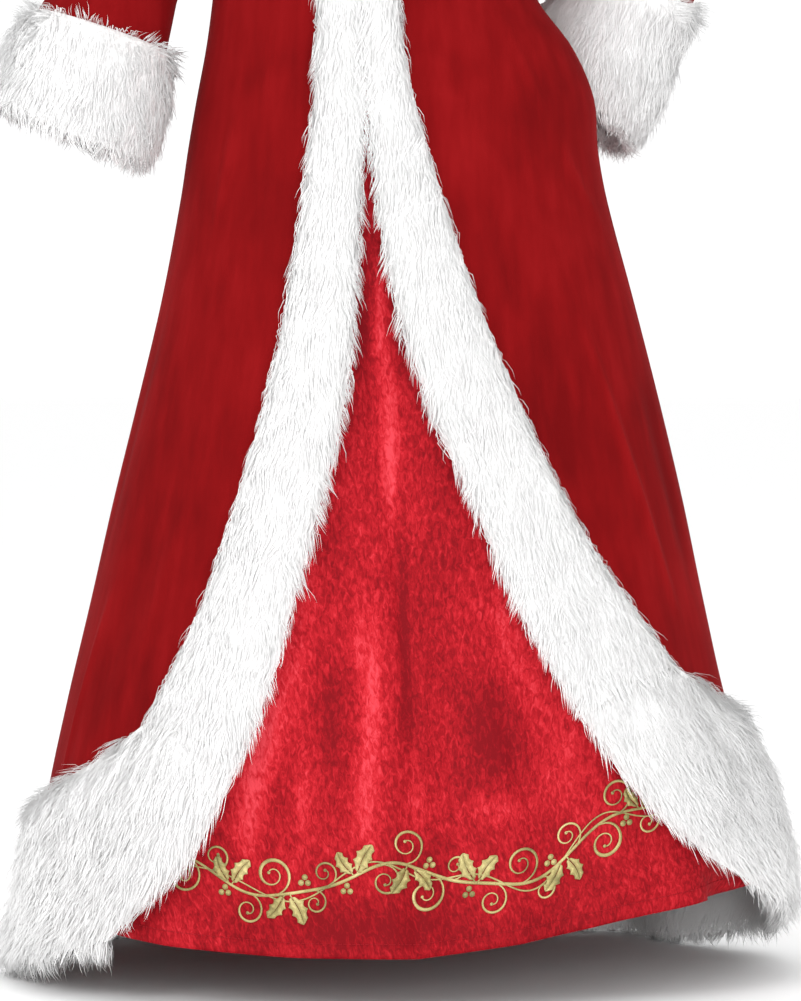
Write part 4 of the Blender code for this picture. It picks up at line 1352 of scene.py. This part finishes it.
def strandParts(root, middle, tip, normal, radius, tint, wisp):
    # a strand is a closed spindle: a point, a ring of three corners, and a point; a wisp has two rings
    count = len(root)
    along = unit(tip - root)
    side = unit(np.cross(along, np.array([0.31, 0.17, 0.94])))
    other = np.cross(along, side)
    spokes = [side * math.cos(turn) + other * math.sin(turn) for turn in np.radians([90.0, 210.0, 330.0])]
    low, high = mix(root, middle, strand["lowRing"]), mix(middle, tip, strand["highRing"])
    rings = [(low, 1.0, strand["lowReach"]), (high, strand["highShare"], strand["highReach"])]
    places, normals, reach = [root], [normal], [0.0]
    for place, share, reached in rings if wisp else [(middle, 1.0, strand["lowReach"])]:
        for spoke in spokes:
            places.append(place + spoke * (radius * share)[:, None])
            normals.append(unit(mix(normal, spoke, hair["roundness"])))
            reach.append(reached)
    places.append(tip)
    normals.append(normal)
    reach.append(1.0)
    corners = len(places)
    pattern = twoPattern if wisp else onePattern
    return {
        "places": np.stack(places, axis=1).reshape(-1, 3),
        "normals": np.stack(normals, axis=1).reshape(-1, 3),
        "faces": (np.arange(count)[:, None, None] * corners + pattern[None]).reshape(-1, 3),
        "reach": np.tile(reach, count),
        "tint": np.repeat(tint, corners),
    }


def strandMesh(name, parts):
    start = 0
    for part in parts:
        part["faces"] = part["faces"] + start
        start += len(part["places"])
    whole = {key: np.concatenate([part[key] for part in parts]) for key in parts[0]}
    data = bpy.data.meshes.new(name)
    data.from_pydata(whole["places"], [], whole["faces"])
    for label in ("reach", "tint"):
        data.attributes.new(label, "FLOAT", "POINT").data.foreach_set("value", whole[label])
    data.materials.append(finishes["hair"])
    data.shade_smooth()
    data.normals_split_custom_set_from_vertices(whole["normals"])
    return data


def growHair(name, patches, kind, seed):
    rng = np.random.default_rng(seed)
    parts = []
    each = len(onePattern) + hair["wispShare"] * (len(twoPattern) - len(onePattern))
    density, length = hair["density"][kind], hair["length"][kind]
    total = sum(patchArea(patch["points"]) for patch in patches) * density
    trim = min(1.0, hair["most"] / (total * each))
    for patch in patches:
        count = int(patchArea(patch["points"]) * density * trim)
        centreRoot, _, centreTip, _ = growPaths(patch, max(count // hair["clumpEvery"], 8),
                                                length * hair["clumpLength"], rng,
                                                hair["wobble"] * hair["clumpStray"])
        for wisp in (False, True):
            number = int(count * (hair["wispShare"] if wisp else 1 - hair["wispShare"]))
            longer = hair["wispLength"] if wisp else 1.0
            root, middle, tip, normal = growPaths(patch, number, length * longer, rng, hair["wobble"])
            tip = clump(root, tip, centreRoot, centreTip)
            for place in (root, middle, tip):
                place[:, 2] = np.maximum(place[:, 2], floorZ + hair["floorClear"])
            radius = hair["wispRadius" if wisp else "radius"] * rng.uniform(*hair["radiusSpread"], number)
            parts.append(strandParts(root, middle, tip, normal, radius, rng.random(number), wisp))
    data = strandMesh(name, parts)
    print(name, len(data.polygons), "triangles")
    return addPiece(name, data)


def groundMesh(under, raised):
    # from the face close to the cloth, the ground is drawn out to its raised face
    mesh = gridMesh(under)
    below = under[::-1].reshape(-1, 3)
    above = raised[::-1].reshape(-1, 3)
    order = mesh.verts.layers.int.new("order")
    for index, vertex in enumerate(mesh.verts):
        vertex[order] = index
    kept = mesh.verts[:]
    made = bmesh.ops.extrude_face_region(mesh, geom=mesh.faces[:])["geom"]
    fresh = [item for item in made if isinstance(item, bmesh.types.BMVert)]
    for vertex in fresh:
        vertex.co = above[vertex[order]]
    for vertex in kept:
        vertex.co = below[vertex[order]]
    bmesh.ops.recalc_face_normals(mesh, faces=mesh.faces[:])
    return mesh


def raisedPoints(cloth, normals, lift):
    raised = cloth + normals * (plush["gap"] + np.maximum(lift, plush["leastLift"]))[..., None]
    raised[..., 2] = np.maximum(raised[..., 2], floorZ + plush["floorClear"])
    return raised


def hairPatches(raised, normals, nap, lean, stretches):
    # stretches are the rows and columns that grow hair, each with the way its strands stand
    patches = []
    for rows, columns, stand in stretches:
        grids = {"points": raised, "normals": normals, "nap": nap, "lean": lean}
        patch = {name: grid[rows, columns] for name, grid in grids.items()}
        patches.append({**patch, "stand": hair["stand"][stand]})
    return patches


def plushPiece(name, node, mesh, patches, kind, seed):
    ground = finishPiece(name, mesh, finishes["ground"])
    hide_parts(node)
    pile = growHair(name + "Pile", patches, kind, seed)


def edgePlush(name, node, cloth, normals, lift, kind, seed, stretches, aside=0.0, rise=None):
    # cloth is the face that the plush lies on
    raised = raisedPoints(cloth, normals, lift * plush["groundShare"])
    faceOut = gridNormals(raised)
    nap = hairNap(cloth, normals)
    if rise is not None:
        nap = nap * (1 - rise)[..., None] + normals * hair["riseOut"] * np.minimum(rise, 1)[..., None]
    lean = unit(mix(faceOut, normals, hair["upright"]))
    patches = hairPatches(raised, faceOut, unit(nap + aside), lean, stretches)
    mesh = groundMesh(cloth + normals * plush["gap"], raised)
    plushPiece(name, node, mesh, patches, kind, seed)


bandMake = {
    "columns": 22,
    "bodyRows": 150,
    "yokeRows": 16,
    "looseShare": 0.25,
    "loose": 0.35,
    "crossShare": 0.40,
    "cross": 1.15,
    "crossBlend": 0.05,
    "seeds": {"left": 11, "right": 12},
    "cuts": {"left": (0.115, 1.22, 0.078), "right": (0.128, 1.21, 0.080)},
}
hemMake = {
    "bandColumns": 20,
    "frontColumns": 34,
    "backColumns": 96,
    "rows": 28,
    "heldShare": 0.45,
    "rise": 0.95,
    "riseShare": 10.0,
    "riseFrom": -0.12,
    "riseOver": 0.24,
    "seamDip": 0.22,
    "seamDipRun": 6.0,
    "topRun": 3.0,
    "clearShare": 0.7,
    "edgeShare": 0.50,
    "turnSteps": (45.0, 90.0, 135.0),
    "turnRows": 7,
    "turnLift": 0.008,
    "turnEnd": 0.25,
    "seeds": {"left": 21, "right": 22, "back": 23},
    "cuts": {"left": (0.38, 0.36, 0.080), "right": (0.45, 0.47, 0.115), "back": (1.01, 0.28, 0.225)},
}


def closedShare(heights, blend):  # 1 where the two bands meet, 0 where they lie apart
    return limit((heights - plush["closedHeight"] + blend) / blend)


def bandLift(shares, heights):
    across = shares + 1
    free = crown(across)
    closed = closedShare(heights, plush["closedBlend"])
    held = np.where(across < 0.5, mix(free, np.maximum(free, plush["closedLift"]), closed), free)
    return plush["bandTop"] * held


def makeBands():
    look = bandMake
    shares = np.array([share - 1 for share in steps(look["columns"])])
    climbs = steps(look["yokeRows"])[::-1][:-1]
    for side, seed in look["seeds"].items():
        cloth = clothGrid(side, shares, climbs, steps(look["bodyRows"]), [])
        across = shares if side == "right" else shares[::-1]
        lift = bandLift(across[None, :] + 0 * cloth[..., 0], cloth[..., 2] - floorZ)
        name = "plushBand" + side.capitalize()
        tellCut(name, cloth)
        inward = unit(np.gradient(cloth, axis=1)) * (-1.0 if side == "right" else 1.0)
        closed = closedShare(cloth[..., 2] - floorZ, look["crossBlend"])
        nearEdge = 1 - ease((across[None, :] + 1) / mix(look["looseShare"], look["crossShare"], closed))
        aside = inward * (nearEdge * mix(look["loose"], look["cross"], closed))[..., None]
        edgePlush(name, "plush_band_" + side, cloth, gridNormals(cloth), lift, "band", seed,
                  [(slice(None), slice(None), "band")], aside)


def turnUnder(cloth, normals, lift):
    # the hem's plush goes round the cloth's lower edge and a little way up its inner face
    wall, rows = body["clothThickness"], hemMake["turnRows"]
    edge, outward = cloth[-1], normals[-1]
    down = unit(cloth[-1] - cloth[-2])
    turns = np.radians(hemMake["turnSteps"])
    bend = np.stack([outward * math.cos(turn) + down * math.sin(turn) for turn in turns])
    rim = edge - outward * wall / 2 + bend * wall / 2
    inside = (cloth - normals * wall)[-2:-2 - rows:-1]
    points = np.concatenate([cloth, rim, inside])
    outwards = np.concatenate([normals, bend, -normals[-2:-2 - rows:-1]])
    fade = np.linspace(1.0, hemMake["turnEnd"], rows)[:, None]
    insideLift = np.minimum(lift[-1:], hemMake["turnLift"]) * fade
    return points, outwards, np.concatenate([lift, np.repeat(lift[-1:], len(bend), axis=0), insideLift])


def hemPatches(first, last):
    # the outer face and the edge, then the stretch inside that stays clear of the centre panel
    outer = hemMake["rows"] + 1 + len(hemMake["turnSteps"])
    return [
        (slice(0, outer), slice(None), "hem"),
        (slice(outer - 1, None), slice(first, last), "turn"),
    ]


def hemRise(rows, down, columns):  # how far the strands turn up over the robe, row by row
    rise = np.zeros((rows, len(columns)))
    rise[:len(down)] = hemMake["rise"] * (1 - ease(down * hemMake["riseShare"]))[:, None] * columns[None, :]
    return rise


def frontHemLift(across, down):  # the height of the pile over a front's hem
    look = hemMake
    held = 1 - ease((across + look["heldShare"]) / look["heldShare"])
    dropped = np.maximum(crown(down), look["edgeShare"] * (down > 0.5))
    rising = np.maximum(crown(np.maximum(down, 0.5)), look["edgeShare"])
    meeting = mix(crown(limit(across + 1)), halfCrown(across + 1), ease(down / look["heldShare"]))
    lift = mix(dropped, rising, held) * mix(halfCrown(across + 1), meeting, across < 0)
    lift = lift * mix(plush["bandTop"], plush["hemTop"], ease(down * look["topRun"]))
    return lift * (1 - look["seamDip"] * held * (1 - ease(down * look["seamDipRun"])))


def makeHems():
    look = hemMake
    shares = [share - 1 for share in steps(look["bandColumns"])] + steps(look["frontColumns"], 1)
    shares = np.array(shares)
    down = np.array(steps(look["rows"]))
    for side in ("left", "right"):
        cloth = clothGrid(side, shares, [], [], down)
        across = (shares if side == "right" else shares[::-1])[None, :]
        name = "plushHem" + side.capitalize()
        tellCut(name, cloth)
        points, normals, lift = turnUnder(cloth, gridNormals(cloth), frontHemLift(across, down[:, None]))
        clear = int(look["bandColumns"] * look["clearShare"])
        columns = (clear, None) if side == "right" else (0, len(shares) - clear)
        rise = hemRise(len(points), down, ease((across[0] - look["riseFrom"]) / look["riseOver"]))
        edgePlush(name, "plush_hem_" + side, points, normals, lift, "hem", look["seeds"][side],
                  hemPatches(*columns), rise=rise)
    shares = np.array(steps(look["backColumns"]))
    cloth = clothGrid("back", shares, [], [], down)
    profile = np.maximum(crown(down), look["edgeShare"] * (down > 0.5))
    lift = plush["hemTop"] * profile[:, None] + 0 * shares[None, :]
    tellCut("plushHemBack", cloth)
    points, normals, lift = turnUnder(cloth, gridNormals(cloth), lift)
    rise = hemRise(len(points), down, 1 + 0 * shares)
    edgePlush("plushHemBack", "plush_hem_back", points, normals, lift, "back", look["seeds"]["back"],
              hemPatches(0, None), rise=rise)


cuffMake = {
    "turns": 64,
    "rings": 22,
    "rimShare": 0.60,
    "edgeShare": 0.45,
    "rise": 1.1,
    "riseShare": 6.0,
    "outwards": 0.08,
}


def ringNormals(points):  # for a grid whose first and last columns are one
    normals = gridNormals(points)
    joined = unit(normals[:, 0] + normals[:, -1])
    normals[:, 0] = joined
    normals[:, -1] = joined
    return normals


def sharedWall(face):  # a wall inside the closed cuff, where its two ends were joined
    return all(len(edge.link_faces) > 2 for edge in face.edges)


def makeCuff(side, look, seed):
    name = "plushCuff" + side.capitalize()
    turns = np.array([360.0 * step / cuffMake["turns"] for step in range(cuffMake["turns"] + 1)])
    share = np.array(steps(cuffMake["rings"]))
    places = mix(look["cuffStart"], len(look["rings"]) - 1, share)
    cloth = sleevePoints(look, places[:, None], turns[None, :])
    if look["side"] > 0:
        cloth = cloth[:, ::-1]
    tellCut(name, cloth)
    top = np.maximum(crown(share), cuffMake["edgeShare"] * (share > 0.5))
    top = plush["cuffTop"] * top * mix(cuffMake["rimShare"], 1.0, share)
    cloth, normals, lift = turnUnder(cloth, ringNormals(cloth), top[:, None] + 0 * turns[None, :])
    raised = raisedPoints(cloth, normals, lift * plush["groundShare"])
    mesh = groundMesh(cloth + normals * plush["gap"], raised)
    bmesh.ops.remove_doubles(mesh, verts=mesh.verts[:], dist=mergeDistance)
    walls = [face for face in mesh.faces if sharedWall(face)]
    bmesh.ops.delete(mesh, geom=walls, context="FACES_ONLY")
    # at the upper rim the pile stands up over the sleeve
    rising = np.ones(len(cloth))
    rising[:len(share)] = 1 - cuffMake["rise"] * ease(1 - share * cuffMake["riseShare"])
    nap = unit(hairNap(cloth, normals) * rising[:, None, None] + normals * cuffMake["outwards"])
    outer = len(share) + len(hemMake["turnSteps"])
    stretches = [(slice(0, outer), slice(None), "cuff"), (slice(outer - 1, None), slice(None), "turn")]
    patches = hairPatches(raised, ringNormals(raised), nap, normals, stretches)
    plushPiece(name, "plush_cuff_" + side, mesh, patches, "cuff", seed)


makeBands()
makeHems()
makeCuff("left", leftSleeve, 31)
makeCuff("right", rightSleeve, 32)
print("plush made")


# stage, light and camera

studio = {
    "world": 1.07,
    "lamps": (
        ("keyLamp", (-3.2, -3.6, 1.6), 2.2, 86.0, -0.75),
        ("fillLamp", (2.8, -3.8, 0.5), 2.6, 14.0, -0.75),
        ("topLamp", (0.0, -0.6, 2.6), 2.2, 14.0, -0.75),
        ("lowLamp", (0.6, -2.6, -1.22), 1.3, 32.0, -1.45),
    ),
    "floorRadius": 30.0,
    "floorSides": 96,
    "floorFinish": (0.9, 0.1),
    "floorColour": (0.93, 0.93, 0.93, 1.0),
    "cameraPlace": (0.032, -4.6, -0.775),
    "cameraDrop": 2.5047,
    "lens": 197.08,
    "sensor": 36.0,
}


def makeFloor():
    mesh = bmesh.new()
    bmesh.ops.create_circle(mesh, cap_ends=True, segments=studio["floorSides"], radius=studio["floorRadius"])
    data = bpy.data.meshes.new("floor")
    mesh.to_mesh(data)
    mesh.free()
    data.transform(Matrix.Translation((0.0, 0.0, floorZ)))
    floor = addObject("floor", data)
    wiring = Wiring("paleFloor", *studio["floorFinish"])
    wiring.shader["Base Color"].default_value = studio["floorColour"]
    data.materials.append(wiring.material)


def makeLights():
    world = bpy.data.worlds.new("studio")
    bpy.context.scene.world = world
    world.use_nodes = True
    tree = world.node_tree
    sky = tree.nodes["Background"]
    sky.inputs["Color"].default_value = (1.0, 1.0, 1.0, 1.0)
    sky.inputs["Strength"].default_value = studio["world"]
    for name, place, size, power, aim in studio["lamps"]:
        lamp = bpy.data.lights.new(name, "AREA")
        lamp.size = size
        lamp.energy = power
        holder = addObject(name, lamp)
        holder.location = place
        holder.rotation_euler = (Vector((0.0, 0.0, aim)) - Vector(place)).to_track_quat("-Z", "Y").to_euler()


def makeCamera():
    lens = bpy.data.cameras.new("camera")
    lens.sensor_fit = "HORIZONTAL"
    lens.sensor_width = studio["sensor"]
    lens.lens = studio["lens"]
    lens.clip_start = 0.1
    lens.clip_end = 100.0
    camera = addObject("camera", lens)
    camera.location = studio["cameraPlace"]
    camera.rotation_euler = (math.radians(90.0 - studio["cameraDrop"]), 0.0, 0.0)
    bpy.context.scene.camera = camera


makeFloor()
makeLights()
makeCamera()
bpy.context.scene.view_settings.view_transform = "Standard"
print("studio made")
